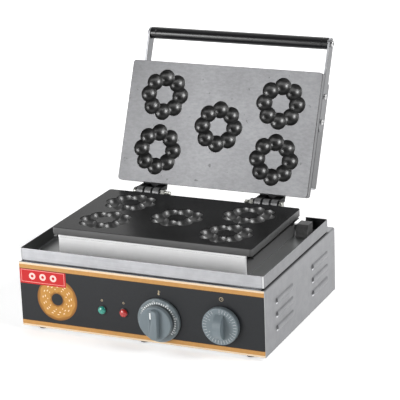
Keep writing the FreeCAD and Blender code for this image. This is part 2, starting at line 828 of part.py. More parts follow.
def make_handle_grip():
    bore = rod_radius + face_fit
    shoulder = grip_radius - grip_end_chamfer
    profile = [(bore, 0), (shoulder, 0), (grip_radius, grip_end_chamfer), (grip_radius, cover_width - grip_end_chamfer),
               (shoulder, cover_width), (bore, cover_width)]
    return turned(profile, V(-cover_width / 2, grip_y, arm_z), X_AXIS)


def make_handle_rod():
    start = V(-cover_width / 2, grip_y, arm_z)
    holes = [rod(V(side * cover_width / 2, grip_y, arm_z), X_AXIS * -side, end_screw_radius + face_fit,
                 end_screw_bite + face_fit) for side in SIDES]
    return rod(start, X_AXIS, rod_radius, cover_width).cut(holes)


def make_handle_end_screws():
    place = cover_width / 2 + arm_thickness
    return [pan_screw(V(side * place, grip_y, arm_z), X_AXIS * side, end_screw_radius, arm_thickness + end_screw_bite,
                      end_screw_head_radius, end_screw_head_height) for side in SIDES]


def make_arm_screws():
    place = cover_width / 2 + arm_thickness
    length = arm_thickness + cover_sheet + arm_screw_bite
    return [pan_screw(V(side * place, y, arm_z), X_AXIS * side, arm_screw_radius, length, arm_screw_head_radius,
                      arm_screw_head_height) for side in SIDES for y in arm_screw_y]


def make_scale_ring():
    """Fixed hollow ring behind the temperature knob that carries the scale on its face."""
    inside = scale_ring_radius - knob_wall
    shelf = scale_ring_thickness - knob_wall
    profile = [(inside, 0), (scale_ring_radius, 0), (scale_ring_radius, scale_ring_rim),
               (scale_ring_face_radius, scale_ring_thickness), (scale_ring_bore, scale_ring_thickness),
               (scale_ring_bore, shelf), (inside, shelf)]
    return turned(profile, V(temperature_x, overlay_face, temperature_level), Y_AXIS * -1)


def knob_body(x, z, radius, back, depth, hub_back):
    """Hollow moulded knob: a round front, a skirt and a hub."""
    front = back + depth
    inside = front - knob_wall
    profile = [(0, hub_back), (knob_hub_radius, hub_back), (knob_hub_radius, inside), (radius - knob_wall, inside),
               (radius - knob_wall, back), (radius, back), (radius, front), (0, front)]
    solid = turned(profile, V(x, overlay_face, z), Y_AXIS * -1)
    return solid.makeFillet(knob_round, edges_at_face(solid, overlay_face - front))


def shaft_bore(x, z, hub_back):
    """Blind bore in a knob's hub for the end of its shaft."""
    return rod(V(x, overlay_face - hub_back, z), Y_AXIS * -1, shaft_radius + running_fit, shaft_seat)


def make_temperature_knob():
    """Round cap with a straight bar across it."""
    front = overlay_face - temperature_knob_back - temperature_cap_depth
    cap = knob_body(temperature_x, temperature_level, temperature_cap_radius, temperature_knob_back,
                    temperature_cap_depth, temperature_knob_back)
    half = (temperature_bar_length - temperature_bar_width) / 2
    bar = stadium(V(temperature_x, front, temperature_level - half), V(temperature_x, front, temperature_level + half),
                  Y_AXIS * -1, temperature_bar_width, temperature_bar_rise)
    bar = bar.makeFillet(bar_round, edges_at_face(bar, front - temperature_bar_rise))
    return cap.fuse(bar).cut(shaft_bore(temperature_x, temperature_level, temperature_knob_back))


def make_timer_knob():
    """Wide disc with a bar that is arched along its length."""
    front = overlay_face - timer_knob_back - timer_knob_depth
    disc = knob_body(timer_x, timer_level, timer_knob_radius, timer_knob_back, timer_knob_depth,
                     timer_hub_back)
    half = timer_bar_length / 2
    x0 = timer_x - timer_bar_width / 2
    low = V(x0, front, timer_level - half)
    high = V(x0, front, timer_level + half)
    crown = V(x0, front - timer_bar_rise, timer_level)
    outline = Part.Wire([Part.Arc(low, crown, high).toShape(), Part.LineSegment(high, low).toShape()])
    bar = Part.Face(outline).extrude(X_AXIS * timer_bar_width)
    return disc.fuse(bar).cut(shaft_bore(timer_x, timer_level, timer_hub_back))


def control_body(x, z, width, height, length):
    """Switch body behind the panel, with a bush through it and a blind bore for the shaft."""
    body = block(x - width / 2, x + width / 2, panel_sheet, panel_sheet + length, z - height / 2, z + height / 2)
    bush = rod(V(x, overlay_face - bush_length, z), Y_AXIS, bush_radius, panel_sheet - overlay_face + bush_length)
    bore = rod(V(x, overlay_face - bush_length, z), Y_AXIS, shaft_radius + running_fit,
               panel_sheet - overlay_face + bush_length + shaft_bite)
    return body.fuse(bush).cut(bore)


def control_shaft(x, z, seat):
    """Shaft from the bottom of its bore to its seat in the knob."""
    end = panel_sheet + shaft_bite - face_fit
    return rod(V(x, overlay_face - seat + face_fit, z), Y_AXIS, shaft_radius, end - overlay_face + seat - face_fit)


def make_lamp_lens(x):
    lens = rod(V(x, overlay_face, lamp_level), Y_AXIS * -1, lamp_lens_radius, lamp_lens_rise)
    return lens.makeFillet(lamp_lens_round, edges_at_face(lens, overlay_face - lamp_lens_rise))


def make_lamp_bezels():
    bore = lamp_lens_radius + face_fit
    profile = [(bore, 0), (lamp_bezel_radius, 0), (lamp_bezel_radius, lamp_bezel_depth / 2), (bore, lamp_bezel_depth)]
    return [turned(profile, V(x, overlay_face, lamp_level), Y_AXIS * -1) for x in (green_lamp_x, red_lamp_x)]


def make_lamp_holders():
    return [rod(V(x, overlay_face, lamp_level), Y_AXIS, lamp_holder_radius, lamp_holder_length)
            for x in (green_lamp_x, red_lamp_x)]


def make_lamp_nuts():
    bore = lamp_holder_radius + face_fit
    profile = [(bore, 0), (lamp_nut_radius, 0), (lamp_nut_radius, lamp_nut_thickness), (bore, lamp_nut_thickness)]
    return [turned(profile, V(x, panel_sheet, lamp_level), Y_AXIS) for x in (green_lamp_x, red_lamp_x)]


def make_thermostat_capillary():
    """Sensing bulb against the lower plate's pad, and the fine tube from it to the thermostat."""
    level = pad_back - bulb_radius
    bulb = rod(V(bulb_x, plate_middle - bulb_length / 2, level), Y_AXIS, bulb_radius, bulb_length)
    height = housing_bottom + capillary_height
    route = [V(bulb_x, plate_middle - bulb_length / 2, level), V(bulb_x, capillary_drop_y, level),
             V(bulb_x, capillary_drop_y, height), V(bulb_x, panel_sheet + thermostat_length, height)]
    return bulb.fuse(bent_tube(route, capillary_bend, capillary_radius))


def make_terminal_block():
    """Ceramic strip on the bottom plate, stepped along both sides and bored for the wires."""
    rear = housing_depth - terminal_set_back
    front = rear - terminal_depth
    top = bottom_top + terminal_height
    ledge = top - terminal_step
    strip = slab([(front, bottom_top), (rear, bottom_top), (rear, ledge), (rear - terminal_step, ledge),
                  (rear - terminal_step, top), (front + terminal_step, top), (front + terminal_step, ledge),
                  (front, ledge)], terminal_x - terminal_width / 2, terminal_x + terminal_width / 2)
    pitch = terminal_width / terminal_ways
    first = terminal_x - terminal_width / 2 + pitch / 2
    ways = [rod(V(first + i * pitch, front, bottom_top + terminal_height / 2), Y_AXIS, terminal_way_radius,
                terminal_depth) for i in range(terminal_ways)]
    return strip.cut(ways)


def make_lead_outlet_cover():
    """Small folded cover on the tray floor where the lid's leads come up."""
    def hood(margin):
        front = outlet_rear - outlet_depth + margin
        rear = outlet_rear - margin
        top = tray_floor + outlet_height - margin
        outline = [(front, tray_floor), (rear, tray_floor), (rear, top), (front + outlet_slope, top)]
        return slab(outline, outlet_x + margin, outlet_x + outlet_width - margin)

    return hood(0).cut([hood(outlet_sheet), outlet_hole()])


def outlet_place():
    """Middle of the outlet's grommet, on the inside of the cover's rear wall."""
    return V(outlet_x + outlet_width / 2, outlet_rear - outlet_sheet, tray_floor + outlet_height / 2)


def outlet_hole():
    return grommet_hole(outlet_place(), Y_AXIS, outlet_sheet)


def make_lead_grommet():
    return grommet(outlet_place(), Y_AXIS, outlet_sheet)


def make_lid_grommet():
    return grommet(V(lid_grommet_x, cover_rear - cover_sheet, lid_back + lid_grommet_height), Y_AXIS, cover_sheet)


def base_pieces():
    return {
        "base_housing": make_base_housing(),
        "front_panel": make_front_panel(),
        "panel_overlay": make_panel_overlay(),
        "bottom_plate": make_bottom_plate(),
        "feet": make_feet(),
        "foot_screws": make_foot_screws(),
        "cord_gland": make_cord_gland(),
        "terminal_block": make_terminal_block(),
        "drip_tray": make_drip_tray(),
        "lower_heater_box": make_lower_heater_box(),
        "lower_mould_plate": make_lower_mould_plate(),
        "lower_heating_element": make_heating_element(),
        "lower_element_clamp": make_lower_element_clamp(),
        "lower_clamp_screws": make_clamp_screws(),
        "lower_insulation": make_lower_insulation(),
        "lead_outlet_cover": make_lead_outlet_cover(),
        "lead_grommet": make_lead_grommet(),
        "left_hinge_base": make_hinge_base(-1),
        "right_hinge_base": make_hinge_base(1),
        "hinge_base_screws": make_hinge_base_screws(),
        "hinge_bolts": make_hinge_bolts(),
        "hinge_nuts": make_hinge_nuts(),
        "temperature_scale_ring": make_scale_ring(),
        "thermostat_body": control_body(temperature_x, temperature_level, thermostat_width, thermostat_height,
                                        thermostat_length),
        "thermostat_capillary": make_thermostat_capillary(),
        "timer_body": control_body(timer_x, timer_level, timer_width, timer_height, timer_length),
        "green_lamp_lens": make_lamp_lens(green_lamp_x),
        "red_lamp_lens": make_lamp_lens(red_lamp_x),
        "lamp_bezels": make_lamp_bezels(),
        "lamp_holders": make_lamp_holders(),
        "lamp_nuts": make_lamp_nuts(),
        "temperature_knob": make_temperature_knob(),
        "thermostat_shaft": control_shaft(temperature_x, temperature_level, temperature_knob_back + shaft_seat),
        "timer_knob": make_timer_knob(),
        "timer_shaft": control_shaft(timer_x, timer_level, timer_hub_back + shaft_seat),
    }


def lid_pieces():
    return {
        "upper_mould_plate": make_upper_mould_plate(),
        "upper_heating_element": turned_over(make_heating_element()),
        "upper_element_clamp": turned_over(make_element_clamp()),
        "upper_clamp_screws": [turned_over(screw) for screw in make_clamp_screws()],
        "upper_insulation": make_upper_insulation(),
        "lid_cover": make_lid_cover(),
        "lid_grommet": make_lid_grommet(),
        "left_hinge_leaf": make_hinge_leaf(-1),
        "right_hinge_leaf": make_hinge_leaf(1),
        "hinge_leaf_screws": make_hinge_leaf_screws(),
        "left_handle_arm": make_handle_arm(-1),
        "right_handle_arm": make_handle_arm(1),
        "handle_grip": make_handle_grip(),
        "handle_rod": make_handle_rod(),
        "handle_end_screws": make_handle_end_screws(),
        "arm_screws": make_arm_screws(),
    }


def main():
    pieces = {name: as_one(shape) for name, shape in base_pieces().items()}
    for name, shape in lid_pieces().items():
        lid_piece = as_one(shape)
        lid_piece.rotate(V(0, hinge_y, hinge_z), X_AXIS, -open_angle)
        pieces[name] = lid_piece
    reach = Part.makeCompound(list(pieces.values())).optimalBoundingBox(False, False)
    shift = V(0, -(reach.YMin + reach.YMax) / 2, 0)
    os.makedirs("parts", exist_ok=True)
    for name, shape in pieces.items():
        shape.translate(shift)
        shape.exportStep("parts/" + name + ".step")
    print("pieces", len(pieces), "shift along y", round(shift.y, 4))
    print("reach", [round(v, 3) for v in (reach.XMin, reach.XMax, reach.YMin, reach.YMax, reach.ZMin, reach.ZMax)])
    print("hinge axis", round(hinge_y + shift.y, 4), round(hinge_z, 4))


def as_one(shape):
    """A single shape of a piece or of a group of like pieces."""
    return Part.makeCompound(shape) if isinstance(shape, list) else shape


main()
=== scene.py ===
"""Looks of a table-top doughnut maker: finishes for its pieces, and fine pieces that its solids leave out."""
import json
from contextlib import contextmanager
from math import copysign, cos, pi, radians, sin

import bmesh
import bpy
from mathutils import Matrix, Vector


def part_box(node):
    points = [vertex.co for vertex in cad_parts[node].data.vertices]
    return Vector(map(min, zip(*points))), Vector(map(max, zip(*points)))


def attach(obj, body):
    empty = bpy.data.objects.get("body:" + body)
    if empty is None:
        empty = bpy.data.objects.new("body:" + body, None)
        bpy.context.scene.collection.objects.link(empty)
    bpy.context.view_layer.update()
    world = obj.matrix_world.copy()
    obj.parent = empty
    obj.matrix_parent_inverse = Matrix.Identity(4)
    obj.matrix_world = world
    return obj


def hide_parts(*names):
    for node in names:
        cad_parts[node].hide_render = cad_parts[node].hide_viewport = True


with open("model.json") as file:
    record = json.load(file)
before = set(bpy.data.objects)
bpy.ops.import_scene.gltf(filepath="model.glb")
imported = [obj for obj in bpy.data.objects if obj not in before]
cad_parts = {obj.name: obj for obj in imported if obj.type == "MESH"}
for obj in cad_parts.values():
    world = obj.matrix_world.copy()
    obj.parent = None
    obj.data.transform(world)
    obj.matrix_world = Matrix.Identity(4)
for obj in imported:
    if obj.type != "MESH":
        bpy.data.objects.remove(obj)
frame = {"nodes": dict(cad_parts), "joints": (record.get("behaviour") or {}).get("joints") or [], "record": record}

bl_info = {
    "name": "Doughnut maker",
    "version": (1, 0, 0),
    "blender": (4, 5, 0),
    "location": "3D View > Sidebar > Doughnut maker",
    "description": "Builds the finishes, dials, fasteners and stage of a table-top doughnut maker",
    "category": "Object",
}

move = Matrix.Translation
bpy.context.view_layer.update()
MM = 0.001
MERGE = 1e-6
LEVEL = 0.9
FLAT_ANGLE, SHARP_ANGLE = radians(0.2), radians(50)
NODE_BODY = {node: body for body, nodes in frame["record"]["behaviour"]["bodies"].items() for node in nodes}
NODE_SLOT = {part["node"]: part["material_slot"] for part in frame["record"]["subparts"]}
LID_JOINT = next(joint for joint in frame["joints"] if joint["name"] == "lid_hinge")
OPEN_ANGLE = radians(LID_JOINT["range_deg"][1])
HINGE = Vector(LID_JOINT["pos_m"])
OPENING = move(HINGE) @ Matrix.Rotation(-OPEN_ANGLE, 4, "X") @ move(-HINGE)


# Node values and finishes

def adds(operation, swapped=False):
    """Makes a method that adds a Math node."""
    def method(self, *others):
        values = (*others, self) if swapped else (self, *others)
        return self.math(operation, *values)
    return method


class Field:
    """A value in a node tree: arithmetic on it adds Math nodes."""

    def __init__(self, nodes, socket):
        self.nodes = nodes
        self.socket = socket

    def math(self, operation, *values):
        return self.nodes.node("Math", dict(enumerate(values)), operation=operation)

    __add__ = __radd__ = adds("ADD")
    __mul__ = __rmul__ = adds("MULTIPLY")
    __sub__ = adds("SUBTRACT")
    __rsub__ = adds("SUBTRACT", swapped=True)
    __truediv__ = adds("DIVIDE")
    __mod__ = adds("FLOORED_MODULO")
    __gt__ = adds("GREATER_THAN")
    __lt__ = adds("LESS_THAN")
    __abs__ = adds("ABSOLUTE")
    either = adds("MAXIMUM")
    sine = adds("SINE")
    root = adds("SQRT")

    def between(self, low, high):
        return (self > low) * (self < high)

    def ramp(self, low, high):
        """0 below low, 1 above high, and smooth between them."""
        inputs = {"Value": self, "From Min": low, "From Max": high}
        return self.nodes.node("MapRange", inputs, interpolation_type="SMOOTHSTEP")


def radius(across, up):
    return (across * across + up * up).root()


def toned(tint, factor):
    return [c * factor for c in tint]


class Nodes:
    """A node tree and the ways to build in it."""

    def __init__(self, tree):
        self.tree = tree

    def node(self, kind, inputs=None, output=0, **settings):
        node = self.tree.nodes.new("ShaderNode" + kind)
        for key, value in settings.items():
            setattr(node, key, value)
        for key, value in (inputs or {}).items():
            self.feed(node.inputs[key], value)
        return Field(self, node.outputs[output])

    def feed(self, socket, value):
        if isinstance(value, Field):
            self.tree.links.new(value.socket, socket)
        elif socket.type == "RGBA":
            socket.default_value = (*value[:3], 1.0)
        else:
            socket.default_value = value

    def parts(self, output):
        """The three parts of a texture coordinate."""
        point = self.node("TexCoord", output=output)
        return [self.node("SeparateXYZ", {0: point}, axis) for axis in range(3)]


class Finish(Nodes):
    """A material and the ways to build its surface."""

    def __init__(self, name, **constants):
        self.material = bpy.data.materials.new(name)
        self.material.use_nodes = True
        super().__init__(self.material.node_tree)
        self.shader = self.tree.nodes["Principled BSDF"]
        self.set(**constants)

    def set(self, **values):
        for key, value in values.items():
            self.feed(self.shader.inputs[key.replace("_", " ").title().replace("Ior", "IOR")], value)

    def place(self, centre=(0, 0, 0)):
        """The three Object coordinates, counted from a point."""
        return [part - offset for part, offset in zip(self.parts("Object"), centre)]

    def facing(self):
        """The three parts of the surface's own normal."""
        return self.parts("Normal")

    def grain(self, scale, detail=3.0, roughness=0.55):
        """Noise on Object coordinates, with one scale or one for each axis."""
        scales = scale if isinstance(scale, tuple) else (scale, scale, scale)
        point = self.node("TexCoord", output="Object")
        scaled = self.node("Mapping", {"Vector": point, "Scale": scales})
        return self.node("TexNoise", {"Vector": scaled, "Scale": 1.0, "Detail": detail, "Roughness": roughness})

    def mix(self, factor, first, second):
        return self.node("Mix", {0: factor, 6: first, 7: second}, 2, data_type="RGBA")

    def cloudy(self, clouds, tint, factor):
        """A tint, toned by a factor where the clouds are low."""
        return self.mix(clouds.ramp(0.3, 0.7), toned(tint, factor), tint)

    def painted_over(self, colour, marks):
        """A colour with painted light and shade laid over it, where a function gives their mask and shade."""
        if not marks:
            return colour
        mask, shade = marks(self)
        return self.mix(mask, colour, shade)

    def bump(self, height, strength, distance):
        self.set(normal=self.node("Bump", {"Strength": strength, "Distance": distance, "Height": height}))


def brushed_steel(name, tint, roughness, painted_side_shade, marks=None, contrast=0.2):
    """Sheet steel with fine brush lines along its longer way, cloudy gloss, painted shade on its end faces, and
    optional painted light and shade from a function.
    """
    finish = Finish(name, metallic=1.0)
    side = abs(finish.facing()[0]) > 0.7
    along, across = 6, 1400
    lengthwise = finish.grain((along, across, across), 2.0)
    endwise = finish.grain((across, along, across), 2.0)
    lines = endwise * side + lengthwise * (1 - side)
    clouds = finish.grain(9, 4.0)
    mottle = finish.grain(70, 4.0, 0.65)
    tone = lines.ramp(0.25, 0.75) * 0.4 + clouds.ramp(0.3, 0.7) * 0.25 + mottle.ramp(0.35, 0.65) * 0.35
    dim, clear = toned(tint, 1 - contrast), toned(tint, 1 + contrast / 4)
    # Painted shade: faces turned along x take a darker copy of the steel.
    ends = finish.mix(tone, toned(dim, painted_side_shade), toned(clear, painted_side_shade))
    colour = finish.mix(side, finish.mix(tone, dim, clear), ends)
    finish.set(base_color=finish.painted_over(colour, marks), roughness=roughness - 0.06 + lines * 0.1 + clouds * 0.06)
    finish.bump(lines, 0.12, 0.0002)
    return finish


def plated_steel(name, tint, roughness):
    """Bright plated steel with a faint cloudy bloom."""
    finish = Finish(name, metallic=1.0)
    clouds = finish.grain(60, 4.0)
    finish.set(base_color=finish.cloudy(clouds, tint, 0.8), roughness=roughness + clouds * 0.15)
    finish.bump(finish.grain(900, 2.0), 0.08, 0.0001)
    return finish


def moulded_plastic(name, tint, roughness, texture=0.15, marks=None):
    """Moulded plastic with a fine spark-eroded texture and optional painted shade from a function."""
    finish = Finish(name, specular_ior_level=0.45)
    spark = finish.grain(2600, 2.0)
    colour = finish.cloudy(finish.grain(40), tint, 0.92)
    finish.set(base_color=finish.painted_over(colour, marks), roughness=roughness + (spark - 0.5) * 0.12)
    finish.bump(spark, texture, 0.0001)
    return finish


def soft_rubber(name, tint):
    """Rubber with a little dust on it."""
    finish = Finish(name, specular_ior_level=0.3)
    dust = finish.grain(350, 4.0)
    grey = [c + 0.03 for c in tint]
    finish.set(base_color=finish.mix(dust.ramp(0.5, 0.8), tint, grey), roughness=0.7 + dust * 0.2)
    finish.bump(dust, 0.2, 0.0002)
    return finish


def paint(name, tint):
    """Printing ink, slightly uneven."""
    finish = Finish(name, specular_ior_level=0.3)
    wear = finish.grain(700)
    finish.set(base_color=finish.mix(wear.ramp(0.35, 0.75), tint, toned(tint, 0.86)),
               roughness=0.45 + wear * 0.15)
    return finish


def oxidised(name, tint, roughness):
    """Heat-stained or mineral surface with coarse mottling."""
    finish = Finish(name)
    mottle = finish.grain(120, 6.0, 0.65)
    finish.set(base_color=finish.mix(mottle.ramp(0.35, 0.65), toned(tint, 0.65), tint),
               roughness=roughness + mottle * 0.2)
    finish.bump(mottle, 0.3, 0.0006)
    return finish


# Modelling helpers

def leave_edit():
    if bpy.context.object and bpy.context.object.mode != "OBJECT":
        bpy.ops.object.mode_set(mode="OBJECT")


def select_only(*pieces):
    leave_edit()
    bpy.ops.object.select_all(action="DESELECT")
    for piece in pieces:
        piece.select_set(True)
    if pieces:
        bpy.context.view_layer.objects.active = pieces[0]


def named(name):
    """Names the active piece and its mesh."""
    piece = bpy.context.object
    piece.name = name
    piece.data.name = name
    return piece


def begin(name, add, **sizes):
    """Adds a primitive and names it."""
    select_only()
    add(**sizes)
    return named(name)


def joined(name, pieces):
    """Makes one named piece of several."""
    select_only(*pieces)
    if len(pieces) > 1:
        bpy.ops.object.join()
    return named(name)


def linked(name, data):
    """New object in the scene."""
    item = bpy.data.objects.new(name, data)
    bpy.context.scene.collection.objects.link(item)
    return item


def twin(piece, name):
    """Copy with its own mesh."""
    return linked(name, piece.data.copy())


@contextmanager
def shaping(piece, kind="FACE", action="DESELECT"):
    """Edit mode on one piece, with nothing or all selected."""
    select_only(piece)
    bpy.ops.object.mode_set(mode="EDIT")
    bpy.ops.mesh.select_mode(type=kind)
    bpy.ops.mesh.select_all(action=action)
    yield
    bpy.ops.object.mode_set(mode="OBJECT")


def pick_level(piece, *ways):
    """Selects the faces that look up (1) or down (-1)."""
    bpy.ops.mesh.select_all(action="DESELECT")
    mesh = bmesh.from_edit_mesh(piece.data)
    for face in mesh.faces:
        face.select_set(any(face.normal.z * way > LEVEL for way in ways))
    bmesh.update_edit_mesh(piece.data)


def modify(piece, kind, **settings):
    """Adds a modifier and applies it."""
    select_only(piece)
    modifier = piece.modifiers.new(kind.lower(), kind)
    for key, value in settings.items():
        setattr(modifier, key, value)
    bpy.ops.object.modifier_apply(modifier=modifier.name)


def cut(piece, tool, **settings):
    """Takes a tool's shape out of a piece and removes the tool."""
    modify(piece, "BOOLEAN", object=tool, operation="DIFFERENCE", solver="EXACT", **settings)
    bpy.data.objects.remove(tool)


def smooth(piece, angle):
    """Smooths the edges below an angle in degrees."""
    select_only(piece)
    bpy.ops.object.shade_smooth_by_angle(angle=radians(angle))


def even_normals(piece):
    modify(piece, "WEIGHTED_NORMAL", keep_sharp=True, weight=90)


def tidy_mesh(piece, angle=35):
    """Merges doubles, points the faces outwards and smooths the rounded ones."""
    with shaping(piece, "VERT", "SELECT"):
        bpy.ops.mesh.remove_doubles(threshold=MERGE)
        bpy.ops.mesh.normals_make_consistent(inside=False)
    smooth(piece, angle)


def settle(piece, place=Matrix()):
    """Moves a piece to its place and puts that place into its mesh."""
    piece.matrix_basis = place @ piece.matrix_basis
    select_only(piece)
    bpy.ops.object.transform_apply(location=True, rotation=True, scale=True)
    return piece


def block(name, size, place=Matrix()):
    """Box of a size, at a place."""
    piece = begin(name, bpy.ops.mesh.primitive_cube_add, size=1)
    piece.scale = size
    return settle(piece, place)


def coat(piece, finish):
    piece.data.materials.clear()
    piece.data.materials.append(finish.material)


def hand_over(piece, body, slot, finish):
    """Finishes a piece and fixes it to its body."""
    coat(piece, finish)
    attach(piece, body)


def stand_in(piece, node, finish):
    """Finishes a piece and lets it stand for the solids of a node."""
    hand_over(piece, NODE_BODY[node], NODE_SLOT[node], finish)
    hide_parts(node)


def dress(node, finish):
    """Gives a solid its finish."""
    coat(frame["nodes"][node], finish)


def refined(node, finish, edge):
    """Stands a smooth copy of a solid in its place, its sharp edges broken by a small round."""
    piece = twin(frame["nodes"][node], node + "_finished")
    with shaping(piece, "VERT", "SELECT"):
        bpy.ops.mesh.remove_doubles(threshold=MERGE)
        bpy.ops.mesh.dissolve_limited(angle_limit=FLAT_ANGLE)
    modify(piece, "BEVEL", width=edge, segments=2, limit_method="ANGLE", angle_limit=SHARP_ANGLE)
    smooth(piece, 30)
    even_normals(piece)
    stand_in(piece, node, finish)
    return piece


def standing(point, direction):
    """Placement that turns the upright axis to a direction at a point."""
    return move(point) @ Vector(direction).to_track_quat("Z", "Y").to_matrix().to_4x4()


def turned(name, profile, point, direction, steps=64):
    """Piece spun from a profile of radius and height about a direction through a point."""
    mesh = bpy.data.meshes.new(name)
    mesh.from_pydata([(r, 0, h) for r, h in profile], [(i, i + 1) for i in range(len(profile) - 1)], [])
    piece = linked(name, mesh)
    with shaping(piece, "VERT", "SELECT"):
        bpy.ops.mesh.spin(steps=steps, angle=2 * pi, center=(0, 0, 0), axis=(0, 0, 1))
    tidy_mesh(piece)
    return settle(piece, standing(point, direction))


def islands(node):
    """Point lists of the separate solids of a node."""
    mesh = bmesh.new()
    mesh.from_mesh(frame["nodes"][node].data)
    bmesh.ops.remove_doubles(mesh, verts=mesh.verts, dist=MERGE)
    left = set(mesh.verts)
    found = []
    while left:
        front = [left.pop()]
        points = []
        while front:
            vert = front.pop()
            points.append(vert.co.copy())
            near = {edge.other_vert(vert) for edge in vert.link_edges} & left
            left -= near
            front.extend(near)
        found.append(points)
    mesh.free()
    return sorted(found, key=lambda points: tuple(round(sum(p[i] for p in points), 5) for i in range(3)))


def solids(node, way=None):
    """A way, the end that way, the length and the widest radius of each solid. Without a way, it is outwards."""
    for points in islands(node):
        direction = way or Vector((copysign(1, sum(p.x for p in points)), 0, 0))
        across = direction.orthogonal().normalized()
        along = [p.dot(direction) for p in points]
        middle = Vector()
        for side in (across, direction.cross(across)):
            reach = [p.dot(side) for p in points]
            middle += side * ((max(reach) + min(reach)) / 2)
        widest = max((p - middle - direction * p.dot(direction)).length for p in points)
        yield direction, middle + direction * max(along), max(along) - min(along), widest


def middle_of(node):
    low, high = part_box(node)
    return (low + high) / 2


def lid_way(y, z):
    """Direction that a shut lid's y and z take when the lid is open."""
    return Vector((0, y * cos(OPEN_ANGLE) + z * sin(OPEN_ANGLE),
                   z * cos(OPEN_ANGLE) - y * sin(OPEN_ANGLE)))


# Settings

def hue(name, what, *default):
    """A colour among the settings."""
    return bpy.props.FloatVectorProperty(name=name, description="Colour of the " + what, subtype="COLOR",
                                         default=default, min=0, max=1)


def span(name, description, default):
    """A length among the settings, given in millimetres."""
    return bpy.props.FloatProperty(name=name, description=description, unit="LENGTH", default=default * MM, min=0)


class SteelSettings(bpy.types.PropertyGroup):
    tint: hue("Steel", "brushed sheet steel", 0.745, 0.752, 0.78)
    # Painted shade: the dark tone of the tray's inside, under the plates.
    inside: hue("Tray inside painted shade", "drip tray's inside", 0.135, 0.137, 0.137)
    roughness: bpy.props.FloatProperty(name="Roughness", description="Gloss of the brushed sheet steel",
                                       subtype="FACTOR", default=0.36, min=0, max=1)
    edge: span("Edge", "Round along the cut edges of the sheet", 0.25)


class PlateSettings(bpy.types.PropertyGroup):
    coating: hue("Coating", "non-stick coating", 0.009, 0.009, 0.009)
    face: hue("Ground face", "upper plate's ground face", 0.325, 0.327, 0.338)
    thickness: span("Thickness", "Thickness at the rim", 11.2)
    corner: span("Corner", "Round of the corners", 4.5)
    edge: span("Edge", "Broken edge round the faces", 0.6)
    rim: span("Rim", "Width of the rim round the pad", 19.6)
    gap: span("Gap", "Gap between the shut plates", 1.0)
    ball: span("Ball", "Radius of each ball cavity", 13.6)
    lift: span("Lift", "Height of the balls' middles over the face", 3.0)
    circle: span("Circle", "Radius of the circle of balls", 26.2)
    column: span("Column", "Outer rings from the middle, across", 95.65)
    row: span("Row", "Outer rings from the middle, front to back", 42.4)
    balls: bpy.props.IntProperty(name="Balls", description="Balls in a ring", default=8, min=3)


class PanelSettings(bpy.types.PropertyGroup):
    ground: hue("Ground", "panel's film", 0.013, 0.0145, 0.017)
    gold: hue("Bands", "bands", 0.53, 0.27, 0.078)
    cream: hue("Lines", "outer lines", 0.76, 0.60, 0.42)
    label: hue("Label", "plain label", 0.51, 0.009, 0.010)
    band: span("Band height", "Height of each band", 6.0)
    line: span("Line height", "Height of each outer line", 2.6)


class DialSettings(bpy.types.PropertyGroup):
    plastic: hue("Knob plastic", "knobs", 0.161, 0.198, 0.218)
    ring: hue("Scale ring", "fixed scale ring", 0.165, 0.198, 0.213)
    mark: hue("Marks", "scale's marks", 0.85, 0.88, 0.88)
    edge: span("Edge", "Round along the edges of the knobs", 0.2)


class StageSettings(bpy.types.PropertyGroup):
    floor: hue("Floor", "floor", 0.90, 0.90, 0.90)
    eye: bpy.props.FloatVectorProperty(name="Eye", description="Place of the camera", subtype="XYZ",
                                       unit="LENGTH", default=(1.05763, -2.28001, 0.97401))
    ahead: bpy.props.FloatVectorProperty(name="Ahead", description="Way that the camera looks",
                                         subtype="DIRECTION", default=(-0.39539, 0.86479, -0.30951))
    roll: bpy.props.FloatProperty(name="Roll", description="Tilt of the picture", subtype="ANGLE",
                                  default=radians(-2.18))
    lens: bpy.props.FloatProperty(name="Lens", description="Focal length on a 36 mm sensor", default=161.3, min=1)


class MakerSettings(bpy.types.PropertyGroup):
    steel: bpy.props.PointerProperty(type=SteelSettings)
    plate: bpy.props.PointerProperty(type=PlateSettings)
    panel: bpy.props.PointerProperty(type=PanelSettings)
    dial: bpy.props.PointerProperty(type=DialSettings)
    stage: bpy.props.PointerProperty(type=StageSettings)


def settings():
    return bpy.context.scene.doughnut_maker


# Pieces

